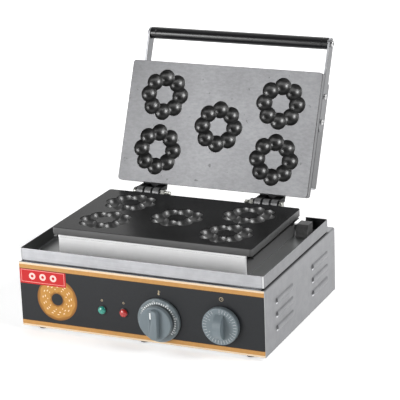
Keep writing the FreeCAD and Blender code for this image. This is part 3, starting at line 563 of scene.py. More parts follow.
class MAKER_OT_steel_sheets(bpy.types.Operator):
    """Finish the folded steel pieces: housing, tray, heater box, lid cover, arms and outlet cover"""
    bl_idname = "doughnut_maker.steel_sheets"
    bl_label = "Steel sheets"

    def execute(self, context):
        steel = settings().steel
        tray_low, tray_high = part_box("drip_tray")
        box_low, box_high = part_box("lower_heater_box")
        skin = 0.6 * MM
        # Painted shade: a dark copy of the steel for the painted shadows under the tray and in the louvre ends.
        painted_shade = toned(steel.tint, 0.17)

        # Painted light: each sheet's tone, and the darker tone of its end faces, lighten or darken the same steel
        # for how light falls on that piece.
        def sheet(name, tone, painted_side_shade, marks=None):
            return brushed_steel(name, toned(steel.tint, tone), steel.roughness, painted_side_shade, marks)

        def housing_painted_light(finish):
            """Painted shadow along the joint under the tray, painted shade on the top behind it, and louvre ends
            with painted shade above and a painted reflection below.
            """
            nx, ny, nz = finish.facing()
            x, y, z = finish.place()
            # Louvre ends that face the front: painted shade where they face up, and a painted reflection, in the
            # plain lighter steel tone, where they face down.
            ends = abs(nx).between(0.6, 0.98) * (ny < -0.22)
            # Painted shadow along the top of the sides, under the tray's edge.
            joint = (z > tray_low.z - 1.2 * MM) * (abs(x) > tray_high.x - 4 * MM) * (y < tray_high.y)
            # Painted shade on the housing's top behind the tray.
            top = (nz > 0.7) * (y > tray_high.y)
            shade = finish.mix(top, finish.mix(nz > -0.2, steel.tint, painted_shade), toned(steel.tint, 0.45))
            return ends.either(joint).either(top), finish.mix(joint, shade, painted_shade)

        def tray_painted_light(finish):
            """Inside with painted shade, lightened towards the left by a painted reflection, a painted pool of
            light on the right-hand floor, and a painted shadow along the joint below.
            """
            x, y, z = finish.place()
            # Painted shade: the tray's inside takes the dark tone set for it.
            level = z.between(tray_low.z + skin, tray_high.z - skin)
            level = level * y.between(tray_low.y + skin, tray_high.y - skin)
            # Painted reflection: the inside is lighter towards the left.
            inside = finish.mix(x.ramp(-0.17, -0.1), toned(steel.inside, 2.3), steel.inside)
            # Painted pool of light on the right-hand floor of the tray, fading towards the back.
            channel = x.ramp(0.13, 0.15) * (1 - y.ramp(0.0, 0.045))
            inside = finish.mix(channel, inside, toned(steel.inside, 5.2))
            # Painted shadow along the joint below the tray's sides.
            joint = (abs(x) > tray_high.x - 3.2 * MM) * (z < tray_low.z + 2.2 * MM)
            return ((abs(x) < tray_high.x - skin) * level).either(joint), finish.mix(joint, inside, painted_shade)

        def box_painted_shade(finish):
            """Painted shade that greys the left end of the front, and painted shade that darkens the right-hand
            side towards the back.
            """
            x, y, _ = finish.place()
            # Painted shade greying the left end of the front.
            end = (1 - x.ramp(-0.16, 0.02)) * (y < box_low.y + skin) * 0.7
            # Painted shade darkening the right-hand side towards the back.
            back = (x > box_high.x - skin) * y.ramp(-0.06, 0.03) * 0.75
            return end.either(back), finish.mix(x > 0, (0.80, 0.80, 0.80), (0.03, 0.03, 0.03))

        arm = sheet("arm steel", 0.8, 0.34)
        # Painted light: the heater box takes a near-white, almost non-metal copy of the steel, with painted shade
        # over it.
        bright = brushed_steel("heater steel with painted light", (0.975, 0.975, 0.98), 0.5, 0.115, box_painted_shade, 0.08)
        bright.set(metallic=0.03)
        finishes = {"base_housing": sheet("brushed steel", 1.0, 0.42, housing_painted_light),
                    "drip_tray": sheet("tray steel", 0.56, 0.67, tray_painted_light),
                    "lid_cover": sheet("lid steel", 0.7, 0.30), "left_handle_arm": arm, "right_handle_arm": arm,
                    "lower_heater_box": bright,
                    "lead_outlet_cover": oxidised("grey enamel", (0.20, 0.20, 0.20), 0.4)}
        for node, finish in finishes.items():
            refined(node, finish, steel.edge)
        dress("bottom_plate", plated_steel("zinc plate", (0.52, 0.52, 0.53), 0.34))
        return {"FINISHED"}


class MAKER_OT_mould_plates(bpy.types.Operator):
    """Model the two mould plates with smooth ball cavities: coated all over below, with a ground face above"""
    bl_idname = "doughnut_maker.mould_plates"
    bl_label = "Mould plates"

    def execute(self, context):
        low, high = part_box("lower_mould_plate")
        flowers = self.flowers(high.z, (low.y + high.y) / 2)
        lower = self.plate("lower_mould_plate_cast", low, high, flowers)
        upper = twin(lower, "upper_mould_plate_cast")
        face = high.z + settings().plate.gap / 2
        settle(upper, OPENING @ move((0, 0, 2 * face)) @ Matrix.Diagonal((1, 1, -1, 1)))
        for piece in (lower, upper):
            tidy_mesh(piece, 28)
            even_normals(piece)
        stand_in(lower, "lower_mould_plate", self.coating(high.z))
        stand_in(upper, "upper_mould_plate", self.ground_face(upper))
        return {"FINISHED"}

    def flowers(self, face, middle):
        """The five rings of overlapping balls, as one closed shape."""
        plate = settings().plate
        ball = begin("flower", bpy.ops.mesh.primitive_uv_sphere_add, segments=48, ring_count=32,
                     radius=plate.ball, location=(plate.circle, 0, 0))
        settle(ball)
        half = pi / plate.balls
        with shaping(ball):
            for side in (-1, 1):
                bpy.ops.mesh.select_all(action="SELECT")
                bpy.ops.mesh.bisect(plane_co=(0, 0, 0), plane_no=(-sin(half), side * cos(half), 0),
                                    clear_outer=True, threshold=1e-7)
            bpy.ops.mesh.select_all(action="SELECT")
            bpy.ops.mesh.spin(steps=plate.balls - 1, angle=2 * pi - 2 * half, center=(0, 0, 0), axis=(0, 0, 1),
                              dupli=True)
        tidy_mesh(ball)
        places = [(x * plate.column, middle + y * plate.row) for y in (-1, 1) for x in (-1, 1)] + [(0, middle)]
        rings = [settle(twin(ball, "flower"), move((x, y, face + plate.lift))) for x, y in places]
        bpy.data.objects.remove(ball)
        return joined("flowers", rings)

    def plate(self, name, low, high, flowers):
        """Plate with rounded corners, broken edges and a raised pad at its back."""
        plate = settings().plate
        middle = (low + high) / 2
        piece = block(name, (high.x - low.x, high.y - low.y, plate.thickness),
                      move((middle.x, middle.y, high.z - plate.thickness / 2)))
        with shaping(piece, "EDGE"):
            mesh = bmesh.from_edit_mesh(piece.data)
            for edge in mesh.edges:
                edge.select_set(abs(edge.verts[0].co.z - edge.verts[1].co.z) > plate.thickness / 2)
            bmesh.update_edit_mesh(piece.data)
            bpy.ops.mesh.bevel(offset=plate.corner, segments=8, affect="EDGES")
        with shaping(piece):
            pick_level(piece, 1, -1)
            bpy.ops.mesh.region_to_loop()
            bpy.ops.mesh.bevel(offset=plate.edge, segments=2, affect="EDGES")
        pad = low.z - high.z + plate.thickness
        with shaping(piece):
            pick_level(piece, -1)
            bpy.ops.mesh.inset(thickness=plate.rim)
            bpy.ops.mesh.extrude_region_move(TRANSFORM_OT_translate={"value": (0, 0, pad)})
        cut(piece, flowers)
        return piece

    def coating(self, face):
        """Glossy black non-stick coating, a little cloudy."""
        coating = settings().plate.coating
        finish = Finish("non-stick coating", specular_ior_level=0.085, coat_roughness=0.40, coat_ior=2.1)
        mould = 1 - finish.place()[2].ramp(face - 1.2 * MM, face - 0.3 * MM)
        upright = abs(finish.facing()[2]) < 0.1
        clouds = finish.grain(14, 4.0)
        finish.set(base_color=finish.mix(clouds.ramp(0.35, 0.7), coating, toned(coating, 1.8)),
                   roughness=0.19 + clouds * 0.10 + mould * 0.15, coat_weight=mould * (1 - upright * 0.2))
        finish.bump(finish.grain(1500, 2.0), 0.06, 0.0001)
        return finish

    def ground_face(self, piece):
        """Ground aluminium face with painted shade at its left and on its sides, and round moulds that are coated
        black.
        """
        plate = settings().plate
        finish = Finish("ground face and coated moulds", coat_roughness=0.34, coat_ior=1.64)
        inward, along = lid_way(0, 1), lid_way(1, 0)
        front = min(p.co.dot(inward) for p in piece.data.vertices)
        spread = [p.co.dot(along) for p in piece.data.vertices]
        margin = 5 * MM
        x, y, z = finish.place()
        depth = y * inward.y + z * inward.z - front
        place = y * along.y + z * along.z
        inside = abs(x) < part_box("upper_mould_plate")[1].x - margin
        inside = inside * place.between(min(spread) + margin, max(spread) - margin)
        coated = depth.ramp(0.2 * MM, 0.5 * MM) * (depth < plate.thickness) * inside
        grind = finish.grain((7, 1100, 1100))
        mottle = finish.grain(16, 5.0)
        speckle = finish.grain((130, 260, 260), 4.0, 0.7)
        tone = grind * 0.2 + mottle.ramp(0.25, 0.75) * 0.4 + speckle.ramp(0.3, 0.7) * 0.4
        ground = finish.mix(tone, toned(plate.face, 0.72), toned(plate.face, 1.16))
        # Painted shade: the face darkens towards its left.
        ground = finish.mix(x.ramp(-0.17, 0.0), finish.mix(0.28, ground, (0, 0, 0)), ground)
        # Pits are dark marks in the face; the sides take painted shade, darkest in a thin painted shadow at the
        # face's edge.
        pits = finish.grain(90, 2.0).ramp(0.70, 0.74)
        side = abs(finish.facing()[0]) > 0.3
        for mask, shade in ((pits * 0.6, 0.3), (side, 0.6), (side * (depth < 1.6 * MM), 0.08)):
            ground = finish.mix(mask, ground, toned(plate.face, shade))
        finish.set(base_color=finish.mix(coated, ground, plate.coating), metallic=(1 - coated) * 0.55,
                   roughness=0.45 + grind * 0.12 - coated * 0.16, coat_weight=coated)
        finish.bump(grind * (1 - coated), 0.1, 0.0002)
        return finish


class MAKER_OT_front_panel(bpy.types.Operator):
    """Print the front panel: bands, lines, a plain label and a plain ring doughnut"""
    bl_idname = "doughnut_maker.front_panel"
    bl_label = "Front panel"

    def execute(self, context):
        film = Finish("printed film", specular_ior_level=0.32)
        x, _, z = (part / MM for part in film.place())
        grit = film.grain(260, 4.0)
        ink = film.cloudy(grit, settings().panel.ground, 0.88)
        for layers in (self.doughnut(film, x, z), self.label(x, z), self.signs(x, z), self.bands(film, grit, z)):
            for mask, tone in layers:
                ink = film.mix(mask, ink, tone)
        film.set(base_color=ink, roughness=0.34 + grit * 0.14)
        film.bump(film.grain(2200, 2.0), 0.05, 0.0001)
        dress("panel_overlay", film)
        dress("front_panel", plated_steel("panel steel", (0.55, 0.55, 0.55), 0.35))
        return {"FINISHED"}

    def doughnut(self, film, x, z):
        """A plain iced ring doughnut with sprinkles."""
        rim, hole = 32.0, 9.0
        across, up = x + 130.5, z - 51.5
        reach = radius(across, up)
        turn = up.math("ARCTAN2", up, across)
        crust = reach.ramp(rim - 6, rim).either(1 - reach.ramp(hole, hole + 4))
        yield reach.between(hole, rim), film.mix(crust, (0.42, 0.19, 0.032), (0.24, 0.095, 0.014))
        wave = (turn * 9.0).sine() * 1.1 + (turn * 4.0 + 1.0).sine() * 0.6
        yield (reach + wave).between(hole + 3, rim - 4), (0.49, 0.236, 0.045)
        for row, count, offset, half in ((15.5, 9, 0.0, 0.72), (19.5, 13, 0.4, 1.44), (23.0, 15, 0.2, 1.44)):
            step = (turn * (count / (2 * pi)) + offset) % 1.0
            seed = abs(step - 0.5) < half * count / (2 * pi * row)
            yield seed * (abs(reach - row) < 0.65), (0.90, 0.74, 0.50)

    def label(self, x, z):
        """A plain coloured label with a thin frame and three small rings."""
        left, right, bottom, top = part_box("panel_overlay")[0].x / MM, -115, 71, 94.5
        inset, line = 2.4, 0.6

        def field(margin):
            return x.between(left + margin, right - margin) * z.between(bottom + margin, top - margin)

        yield (x < right) * z.between(bottom, top), settings().panel.label
        yield field(inset) * (1 - field(inset + line)), (0.85, 0.42, 0.38)
        for i in (-1, 0, 1):
            reach = radius(x - ((left + right) / 2 + i * 17), z - (bottom + top) / 2)
            yield reach.between(2.2, 5.2), (0.88, 0.60, 0.55)

    def signs(self, x, z):
        """Small plain signs: a clock over the timer, a thermometer over its control and dots over the lamps."""
        tone = (0.42, 0.34, 0.22)

        def over(node, rise):
            middle = middle_of(node) / MM
            return x - middle.x, z - (middle.z + rise)

        across, up = over("timer_knob", 37.5)
        hand = (abs(across) < 0.3) * up.between(0, 2.0)
        pointer = (abs(up) < 0.3) * across.between(0, 1.5)
        yield radius(across, up).between(2.4, 3.1).either(hand).either(pointer), tone
        across, up = over("temperature_scale_ring", 40.5)
        bulb = radius(across, up + 2.2) < 1.5
        stem = (abs(across) < 0.7) * up.between(-2.2, 3.2)
        rungs = ((up / 1.6) % 1.0) < 0.35
        rungs = across.between(1.2, 2.4) * rungs * up.between(-0.4, 3.2)
        yield bulb.either(stem).either(rungs), tone
        for node in ("green_lamp_lens", "red_lamp_lens"):
            yield radius(*over(node, 14.5)).between(0.9, 1.6), tone

    def bands(self, film, grit, z):
        """A brown edge, a band and an outer line along the top and along the bottom."""
        panel = settings().panel
        low, high = (corner.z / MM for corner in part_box("panel_overlay"))
        gold = film.cloudy(grit, panel.gold, 0.9)
        line, edge = panel.line / MM, 0.9
        band = line + panel.band / MM
        for reach, tone in ((band + edge, (0.06, 0.028, 0.008)), (band, gold), (line, panel.cream)):
            yield (z < low + reach).either(z > high - reach), tone


def print_on(body, piece, ink):
    """Finishes the raised print of a dial."""
    tidy_mesh(piece)
    hand_over(piece, body, "knob_grey", ink)


def angles(first, last, count):
    """Even steps from one angle in degrees to another."""
    return [radians(first + (last - first) * i / (count - 1)) for i in range(count)]


def scale_marks(name, body, ink, centre, reach, length, width, first, last, count):
    """Flat marks on a circle that faces the front, from one angle to another in degrees."""
    proud = 0.12 * MM
    master = block(name, (length, proud, width))
    modify(master, "BEVEL", width=proud / 4, segments=1)
    out = move((reach, -proud / 2, 0))
    marks = [settle(twin(master, name), move(centre) @ Matrix.Rotation(-angle, 4, "Y") @ out)
             for angle in angles(first, last, count)]
    bpy.data.objects.remove(master)
    print_on(body, joined(name, marks), ink)


def scale_numbers(name, body, ink, centre, reach, height, words, first, last):
    """Raised numbers round a dial, each upright to its middle."""
    proud = 0.06 * MM
    upright = move((0, -proud, reach)) @ Matrix.Rotation(radians(90), 4, "X")
    digits = []
    for word, angle in zip(words, angles(first, last, len(words))):
        select_only()
        bpy.ops.object.text_add(location=(0, 0, 0))
        text = bpy.context.object.data
        text.body = word
        text.size = height
        text.align_x = text.align_y = "CENTER"
        text.extrude = proud
        text.resolution_u = 3
        bpy.ops.object.convert(target="MESH")
        turn = Matrix.Rotation(-(angle - radians(90)), 4, "Y")
        digits.append(settle(bpy.context.object, move(centre) @ turn @ upright))
    print_on(body, joined(name, digits), ink)


class MAKER_OT_temperature_dial(bpy.types.Operator):
    """Finish the temperature control and print its scale"""
    bl_idname = "doughnut_maker.temperature_dial"
    bl_label = "Temperature dial"

    def execute(self, context):
        dial = settings().dial
        centre = middle_of("temperature_scale_ring")
        centre.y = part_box("temperature_scale_ring")[0].y

        def foot(finish):
            """Painted shade on the foot of the cap, next to the ring."""
            x, y, z = finish.place(centre)
            return (radius(x, z) > 23.9 * MM) * (y > -5 * MM), toned(dial.plastic, 0.2)

        ink = paint("scale ink", dial.mark)
        plastic = moulded_plastic("knob plastic", dial.plastic, 0.38, marks=foot)
        refined("temperature_scale_ring", moulded_plastic("scale ring plastic", dial.ring, 0.42), dial.edge)
        knob = refined("temperature_knob", plastic, dial.edge)
        dress("thermostat_shaft", plated_steel("shaft steel", (0.6, 0.6, 0.6), 0.3))
        scale_marks("temperature_dots", "base", ink, centre, reach=26.3 * MM, length=2.8 * MM, width=2.0 * MM,
                    first=200, last=-40, count=32)
        scale_numbers("temperature_numbers", "base", ink, centre, reach=29.1 * MM, height=2.7 * MM,
                      words=("50", "100", "150", "200", "250", "300"), first=190, last=-30)
        front = Vector((centre.x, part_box("temperature_knob")[0].y, centre.z))
        size, offset = Vector((1.7, 0.4, 9.5)) * MM, Vector((-2.9, 0.25, 13.8)) * MM
        sunk, edge = 0.15 * MM, 0.03 * MM
        pointer = block("temperature_pointer", size, move(front + offset))
        modify(pointer, "BEVEL", width=edge, segments=2)
        tidy_mesh(pointer)
        cut(knob, settle(twin(pointer, "pointer_groove"), move((0, -sunk, 0))))
        hand_over(pointer, "temperature_knob", "knob_grey", paint("pointer ink", (0.92, 0.94, 0.94)))
        return {"FINISHED"}


class MAKER_OT_timer_dial(bpy.types.Operator):
    """Finish the timer knob and print its scale"""
    bl_idname = "doughnut_maker.timer_dial"
    bl_label = "Timer dial"

    def execute(self, context):
        dial = settings().dial
        ink = paint("timer ink", toned(dial.mark, 0.62))
        refined("timer_knob", moulded_plastic("timer plastic", dial.plastic, 0.4), dial.edge)
        dress("timer_shaft", plated_steel("timer shaft steel", (0.6, 0.6, 0.6), 0.3))
        flange = 8.6 * MM
        centre = middle_of("timer_knob")
        centre.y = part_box("panel_overlay")[0].y - flange
        scale_marks("timer_ticks", "timer_knob", ink, centre, reach=22.7 * MM, length=5.2 * MM, width=0.6 * MM,
                    first=90, last=-240, count=31)
        scale_numbers("timer_numbers", "timer_knob", ink, centre, reach=17.6 * MM, height=3.4 * MM,
                      words=("0", "1", "2", "3", "4", "5"), first=90, last=-210)
        return {"FINISHED"}


class MAKER_OT_pilot_lamps(bpy.types.Operator):
    """Model the two lamp lenses with stepped domes, and their bezels"""
    bl_idname = "doughnut_maker.pilot_lamps"
    bl_label = "Pilot lamps"

    def execute(self, context):
        for node, tint in (("green_lamp_lens", (0.015, 0.25, 0.19)), ("red_lamp_lens", (0.44, 0.018, 0.016))):
            low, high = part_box(node)
            middle = middle_of(node)
            wide, rise, steps, ripple = (high.x - low.x) / 2, high.y - low.y, 12, 0.12 * MM
            dome, foot = wide * 0.98, rise * 0.34
            profile = [(0, 0), (wide, 0), (wide, rise * 0.32)]
            for i in range(1, steps + 1):
                angle = radians(90 * i / steps)
                profile.append((dome * cos(angle), foot + (rise - foot) * sin(angle) - ripple * (i % 2)))
            lens = turned(node + "_dome", profile, (middle.x, high.y, middle.z), (0, -1, 0))
            glass = Finish(NODE_SLOT[node], roughness=0.12, specular_ior_level=0.6, coat_weight=0.5,
                           emission_strength=0.1)
            depth = glass.grain(500)
            glass.set(base_color=glass.cloudy(depth, tint, 0.8), emission_color=glass.cloudy(depth, tint, 0.7))
            stand_in(lens, node, glass)
        refined("lamp_bezels", moulded_plastic("bezel plastic", (0.012, 0.012, 0.013), 0.35), 0.1 * MM)
        dress("lamp_holders", moulded_plastic("lamp holder plastic", (0.5, 0.5, 0.48), 0.5))
        dress("lamp_nuts", plated_steel("lamp nut zinc", (0.55, 0.55, 0.55), 0.35))
        return {"FINISHED"}


class MAKER_OT_handle(bpy.types.Operator):
    """Finish the handle: a black grip on its rod"""
    bl_idname = "doughnut_maker.handle"
    bl_label = "Handle"

    def execute(self, context):
        low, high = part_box("handle_grip")
        centre = middle_of("handle_grip")
        outer, bore, length = (high.z - low.z) / 2, 5.1 * MM, high.x - low.x
        collar, chamfer = 9 * MM, 1.0 * MM
        groove = outer - 0.5 * MM
        profile = [(bore, 0), (outer - chamfer, 0), (outer, chamfer), (outer, collar),
                   (groove, collar + 0.4 * MM), (groove, collar + 1.6 * MM), (outer, collar + 2.0 * MM)]
        mirrored = [(r, length - h) for r, h in reversed(profile)]
        grip = turned("handle_grip_moulded", profile + mirrored, (low.x, centre.y, centre.z), (1, 0, 0), 72)
        black = moulded_plastic("grip plastic", (0.006, 0.006, 0.007), 0.22, 0.05)
        stand_in(grip, "handle_grip", black)
        dress("handle_rod", plated_steel("rod steel", (0.55, 0.55, 0.55), 0.35))
        return {"FINISHED"}


class MAKER_OT_screws(bpy.types.Operator):
    """Model the screws with cross recesses at the places of the solids"""
    bl_idname = "doughnut_maker.screws"
    bl_label = "Screws"

    def execute(self, context):
        bright = plated_steel("screw steel", (0.66, 0.66, 0.66), 0.22)
        zinc = plated_steel("screw zinc", (0.5, 0.5, 0.51), 0.3)
        sets = (("arm_screws", None, 2.2 * MM, 2.5 * MM, bright),
                ("handle_end_screws", None, 3.2 * MM, 3.0 * MM, bright),
                ("hinge_leaf_screws", lid_way(0, 1), 2.0 * MM, 2.0 * MM, zinc),
                ("hinge_base_screws", Vector((0, 1, 0)), 2.0 * MM, 2.0 * MM, zinc),
                ("foot_screws", Vector((0, 0, -1)), 1.8 * MM, 2.0 * MM, zinc))
        first_turn, next_turn = 17, 31
        for node, way, head, shank, finish in sets:
            master = None
            screws = []
            for number, (direction, end, length, widest) in enumerate(solids(node, way)):
                if master is None:
                    master = self.cross_head(widest, head, shank, length - head)
                spin = Matrix.Rotation(radians(first_turn + next_turn * number), 4, "Z")
                screws.append(settle(twin(master, node), standing(end - direction * head, direction) @ spin))
            bpy.data.objects.remove(master)
            stand_in(joined(node + "_cross", screws), node, finish)
        return {"FINISHED"}

    def cross_head(self, widest, height, shank, length):
        """Pan-head screw with a cross recess, standing on its seat at the origin."""
        screw = begin("cross_head", bpy.ops.mesh.primitive_cylinder_add, vertices=40, radius=widest, depth=height,
                      location=(0, 0, height / 2))
        settle(screw)
        with shaping(screw):
            pick_level(screw, 1)
            bpy.ops.mesh.bevel(offset=height * 0.55, segments=5, affect="EDGES")
            pick_level(screw, -1)
            bpy.ops.mesh.inset(thickness=widest - shank)
            bpy.ops.mesh.extrude_region_move(TRANSFORM_OT_translate={"value": (0, 0, -length)})
        bar = (widest * 1.15, widest * 0.24, height * 1.1)
        top = move((0, 0, height))
        bars = [block("recess", bar, top @ Matrix.Rotation(turn, 4, "Z")) for turn in (0, pi / 2)]
        cut(screw, joined("recess", bars), use_self=True)
        tidy_mesh(screw)
        return screw


class MAKER_OT_hinges(bpy.types.Operator):
    """Finish the hinges, and model their bolts with threads and their nuts with chamfers"""
    bl_idname = "doughnut_maker.hinges"
    bl_label = "Hinges"

    def execute(self, context):
        leaf = self.leaf_finish()
        for node in ("left_hinge_base", "right_hinge_base", "left_hinge_leaf", "right_hinge_leaf"):
            refined(node, leaf, 0.4 * MM)
        bright = plated_steel("bolt steel", (0.40, 0.40, 0.37), 0.24)
        for node, kind, make in (("hinge_bolts", "threaded", self.bolt), ("hinge_nuts", "chamfered", self.nut)):
            pieces = [make(*solid) for solid in solids(node)]
            stand_in(joined(f"{node}_{kind}", pieces), node, bright)
        return {"FINISHED"}

    def leaf_finish(self):
        """Dark cast leaves whose knuckles are turned brighter, with painted shade at the ends of each knuckle
        where the knuckles meet.
        """
        low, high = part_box("right_hinge_leaf")
        knuckle = (high.x - low.x) / 3
        finish = Finish("hinge steel", metallic=1.0)
        x, y, z = finish.place(HINGE)
        # Painted shade: each knuckle darkens towards its ends, where it meets the next.
        along = abs((((abs(x) - low.x) / knuckle) % 1.0) - 0.5)
        bright = (1 - radius(y, z).ramp(8.1 * MM, 8.7 * MM)) * (1 - along.ramp(0.33, 0.40))
        rough = finish.grain(300, 5.0)
        tint = finish.mix(rough.ramp(0.3, 0.7), (0.20, 0.20, 0.205), (0.32, 0.32, 0.32))
        finish.set(base_color=finish.mix(bright, (0.03, 0.03, 0.031), tint),
                   roughness=0.5 - bright * 0.06 + rough * 0.1)
        finish.bump(rough * (1 - bright), 0.25, 0.0004)
        return finish

    def bolt(self, way, end, length, widest):
        """Bolt with a domed head, a plain shank and a threaded tail, its head towards the outside."""
        shank, head, tail, pitch, tip = 4.0 * MM, 5.0 * MM, 15.0 * MM, 1.25 * MM, 0.8 * MM
        root = shank - 0.7 * MM
        profile = [(0, 0), (root - tip, 0), (root, tip)]
        rise = tip
        while rise + pitch < tail:
            profile += [(shank, rise + pitch / 2), (root, rise + pitch)]
            rise += pitch
        dome = length - head / 2
        profile += [(shank, tail), (shank, length - head), (widest, length - head), (widest, dome)]
        steps, crown = 6, 0.45
        for i in range(1, steps + 1):
            angle = radians(90 * i / steps)
            reach = widest * (crown + (1 - crown) * cos(angle)) if i < steps else 0
            profile.append((reach, dome + head / 2 * sin(angle)))
        return turned("hinge_bolt", profile, end - way * length, way, 48)

    def nut(self, way, end, thickness, widest):
        """Hexagon nut with chamfered corners and a bore."""
        bore, chamfer = 4.05 * MM, 0.6 * MM
        nut = begin("hinge_nut", bpy.ops.mesh.primitive_cylinder_add, vertices=6, radius=widest, depth=thickness,
                    location=(0, 0, -thickness / 2))
        settle(nut)
        with shaping(nut):
            pick_level(nut, 1, -1)
            bpy.ops.mesh.bevel(offset=chamfer, segments=2, affect="EDGES")
        cut(nut, begin("bore", bpy.ops.mesh.primitive_cylinder_add, vertices=48, radius=bore, depth=3 * thickness))
        tidy_mesh(nut, 20)
        return settle(nut, standing(end, way) @ Matrix.Rotation(radians(30), 4, "Z"))


class MAKER_OT_feet(bpy.types.Operator):
    """Model the rubber feet with a ribbed sole"""
    bl_idname = "doughnut_maker.feet"
    bl_label = "Feet"

    def execute(self, context):
        bore, well, seat, lip, rib = 2.1 * MM, 4.5 * MM, 2.6 * MM, 0.5 * MM, 0.35 * MM
        feet = []
        for up, top, height, widest in solids("feet", Vector((0, 0, 1))):
            sole = widest - 1.5 * MM
            profile = [(bore, height), (widest - lip, height), (widest, height - lip),
                       (widest - lip, height - 2 * MM), (sole + rib, 0.9 * MM), (sole - 0.3 * MM, 0),
                       (sole - 0.9 * MM, 0), (sole - 1.1 * MM, rib), (sole - 1.5 * MM, rib),
                       (sole - 1.7 * MM, 0), (well, 0), (well, seat), (bore, seat)]
            feet.append(turned("foot", profile + profile[:1], top - up * height, up, 40))
        stand_in(joined("feet_ribbed", feet), "feet", soft_rubber("foot rubber", (0.02, 0.02, 0.02)))
        return {"FINISHED"}


class MAKER_OT_cord_gland(bpy.types.Operator):
    """Model the cord gland at the back with a ribbed nose"""
    bl_idname = "doughnut_maker.cord_gland"
    bl_label = "Cord gland"

    def execute(self, context):
        low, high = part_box("cord_gland")
        centre = middle_of("cord_gland")
        flange, length = (high.x - low.x) / 2, high.y - low.y
        bore, barrel, nose, rim, groove, ribs = 4.0 * MM, 9.5 * MM, 12 * MM, 3 * MM, 0.9 * MM, 5
        wall = length - nose - rim
        profile = [(bore, 0), (barrel, 0), (barrel, wall - 4.2 * MM), (flange - 0.4 * MM, wall - 4.2 * MM),
                   (flange, wall - 3.8 * MM), (flange, wall - 1.2 * MM), (barrel, wall - 1.2 * MM),
                   (barrel, wall), (flange, wall), (flange, wall + 2.4 * MM), (flange - 0.6 * MM, wall + rim)]
        for i in range(ribs):
            at = wall + rim + nose * i / ribs
            outer = barrel - 2.5 * MM * i / ribs
            profile += [(outer - groove, at + 0.2 * MM), (outer - groove, at + 0.8 * MM), (outer, at + 1.0 * MM),
                        (outer - 0.2 * MM, at + 2.2 * MM)]
        profile += [(7.0 * MM, length), (bore, length), (bore, 0)]
        gland = turned("cord_gland_ribbed", profile, (centre.x, low.y, centre.z), (0, 1, 0))
        black = moulded_plastic("gland plastic", (0.015, 0.015, 0.016), 0.45, 0.3)
        stand_in(gland, "cord_gland", black)
        return {"FINISHED"}


class MAKER_OT_inner_works(bpy.types.Operator):
    """Finish the pieces inside: elements, clamps, insulation, switches and grommets"""
    bl_idname = "doughnut_maker.inner_works"
    bl_label = "Inner works"

    def execute(self, context):
        groups = ((oxidised("element sheath", (0.16, 0.13, 0.11), 0.45),
                   ("lower_heating_element", "upper_heating_element")),
                  (plated_steel("clamp zinc", (0.5, 0.5, 0.5), 0.38),
                   ("lower_element_clamp", "upper_element_clamp", "lower_clamp_screws", "upper_clamp_screws")),
                  (oxidised("mineral board", (0.72, 0.68, 0.58), 0.8), ("lower_insulation", "upper_insulation")),
                  (moulded_plastic("switch plastic", (0.55, 0.54, 0.50), 0.5),
                   ("thermostat_body", "timer_body", "terminal_block")),
                  (plated_steel("copper tube", (0.7, 0.36, 0.2), 0.3), ("thermostat_capillary",)),
                  (soft_rubber("grommet rubber", (0.025, 0.025, 0.025)), ("lead_grommet", "lid_grommet")))
        for finish, nodes in groups:
            for node in nodes:
                dress(node, finish)
        return {"FINISHED"}


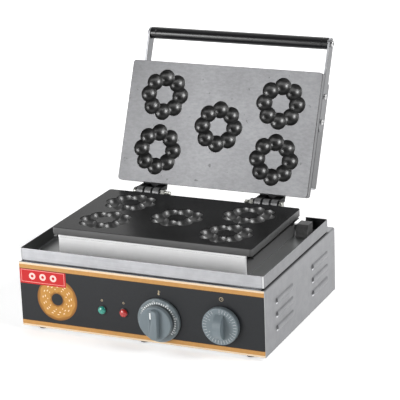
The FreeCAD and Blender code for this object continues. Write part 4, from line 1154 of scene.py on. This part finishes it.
class MAKER_OT_stage(bpy.types.Operator):
    """Set the pale floor, the soft lights and the camera"""
    bl_idname = "doughnut_maker.stage"
    bl_label = "Stage"

    def execute(self, context):
        stage = settings().stage
        floor = begin("floor", bpy.ops.mesh.primitive_plane_add, size=40, location=(0, 0, 0))
        with shaping(floor, action="SELECT"):
            bpy.ops.mesh.subdivide(number_cuts=3)
        pale = Finish("pale floor", roughness=0.9, specular_ior_level=0.1, emission_strength=1.0)
        x, y, _ = pale.place()
        away = radius(x, y).ramp(0.4, 1.6)
        pale.set(base_color=pale.mix(pale.grain(3, 2.0), toned(stage.floor, 0.99), stage.floor),
                 emission_color=pale.mix(away, (0.46, 0.46, 0.46), (0.95, 0.95, 0.95)))
        coat(floor, pale)
        machine = (0, 0.1, 0.2)
        lights = (("left", (-1.42, -1.9, 0.62), 1.1, 40, machine),
                  ("right", (2.0, 0.05, 1.74), 1.1, 38, machine),
                  ("top", (0.0, 0.6, 3.0), 3.0, 14, machine),
                  ("back", (-1.2, 3.4, 2.8), 3.0, 20, (-1.2, 3.2, 0)))
        for name, place, size, power, aim in lights:
            light = bpy.data.lights.new(name, "AREA")
            light.size = size
            light.energy = power
            lamp = linked(name, light)
            lamp.location = place
            lamp.rotation_euler = (Vector(aim) - Vector(place)).to_track_quat("-Z", "Y").to_euler()
        context.scene.world = self.studio()
        context.scene.view_settings.view_transform = "Standard"
        context.scene.camera = self.camera(stage)
        return {"FINISHED"}

    def studio(self):
        """Soft white room, darker towards its right-hand side and its ceiling, and bright at its back."""
        world = bpy.data.worlds.new("studio")
        world.use_nodes = True
        room = Nodes(world.node_tree)
        x, y, z = room.parts("Generated")
        keys = ("Value", "From Min", "From Max", "To Min", "To Max")
        shades = [room.node("MapRange", dict(zip(keys, values))) for values in (
            (x, -0.3, 0.7, 0.40, 0.05), (y, 0.3, 0.85, 0.0, 0.6), (z, 0.45, 0.8, 0.0, -0.27))]
        background = world.node_tree.nodes["Background"]
        room.feed(background.inputs["Strength"], sum(shades))
        room.feed(background.inputs["Color"], (1.0, 1.0, 1.0))
        return world

    def camera(self, stage):
        """Camera of the photo, with its own small roll."""
        ahead = Vector(stage.ahead).normalized()
        level = ahead.cross(Vector((0, 0, 1))).normalized()
        upright = level.cross(ahead)
        right = level * cos(stage.roll) + upright * sin(stage.roll)
        lens = bpy.data.cameras.new("photo camera")
        lens.sensor_width = 36
        lens.lens = stage.lens
        camera = linked("photo camera", lens)
        turn = Matrix((right, right.cross(ahead), -ahead)).transposed().to_4x4()
        camera.matrix_world = move(Vector(stage.eye)) @ turn
        return camera


class MAKER_PT_panel(bpy.types.Panel):
    """Lists the settings and the steps that finish the machine"""
    bl_label = "Doughnut maker"
    bl_idname = "MAKER_PT_panel"
    bl_space_type = "VIEW_3D"
    bl_region_type = "UI"
    bl_category = "Doughnut maker"

    def draw(self, context):
        for group in ("steel", "plate", "panel", "dial", "stage"):
            box = self.layout.box()
            values = getattr(context.scene.doughnut_maker, group)
            for name in values.bl_rna.properties.keys():
                if name not in ("rna_type", "name"):
                    box.prop(values, name)
        for step in STEPS:
            self.layout.operator(step.bl_idname)


STEPS = (MAKER_OT_steel_sheets, MAKER_OT_mould_plates, MAKER_OT_front_panel, MAKER_OT_temperature_dial,
         MAKER_OT_timer_dial, MAKER_OT_pilot_lamps, MAKER_OT_handle, MAKER_OT_screws, MAKER_OT_hinges,
         MAKER_OT_feet, MAKER_OT_cord_gland, MAKER_OT_inner_works, MAKER_OT_stage)
CLASSES = (SteelSettings, PlateSettings, PanelSettings, DialSettings, StageSettings, MakerSettings, *STEPS,
           MAKER_PT_panel)


def register():
    for kind in CLASSES:
        bpy.utils.register_class(kind)
    bpy.types.Scene.doughnut_maker = bpy.props.PointerProperty(type=MakerSettings)


def unregister():
    del bpy.types.Scene.doughnut_maker
    for kind in reversed(CLASSES):
        bpy.utils.unregister_class(kind)


def main():
    register()
    for step in STEPS:
        group, name = step.bl_idname.split(".")
        getattr(getattr(bpy.ops, group), name)()
    leave_edit()


if __name__ == "__main__":
    main()
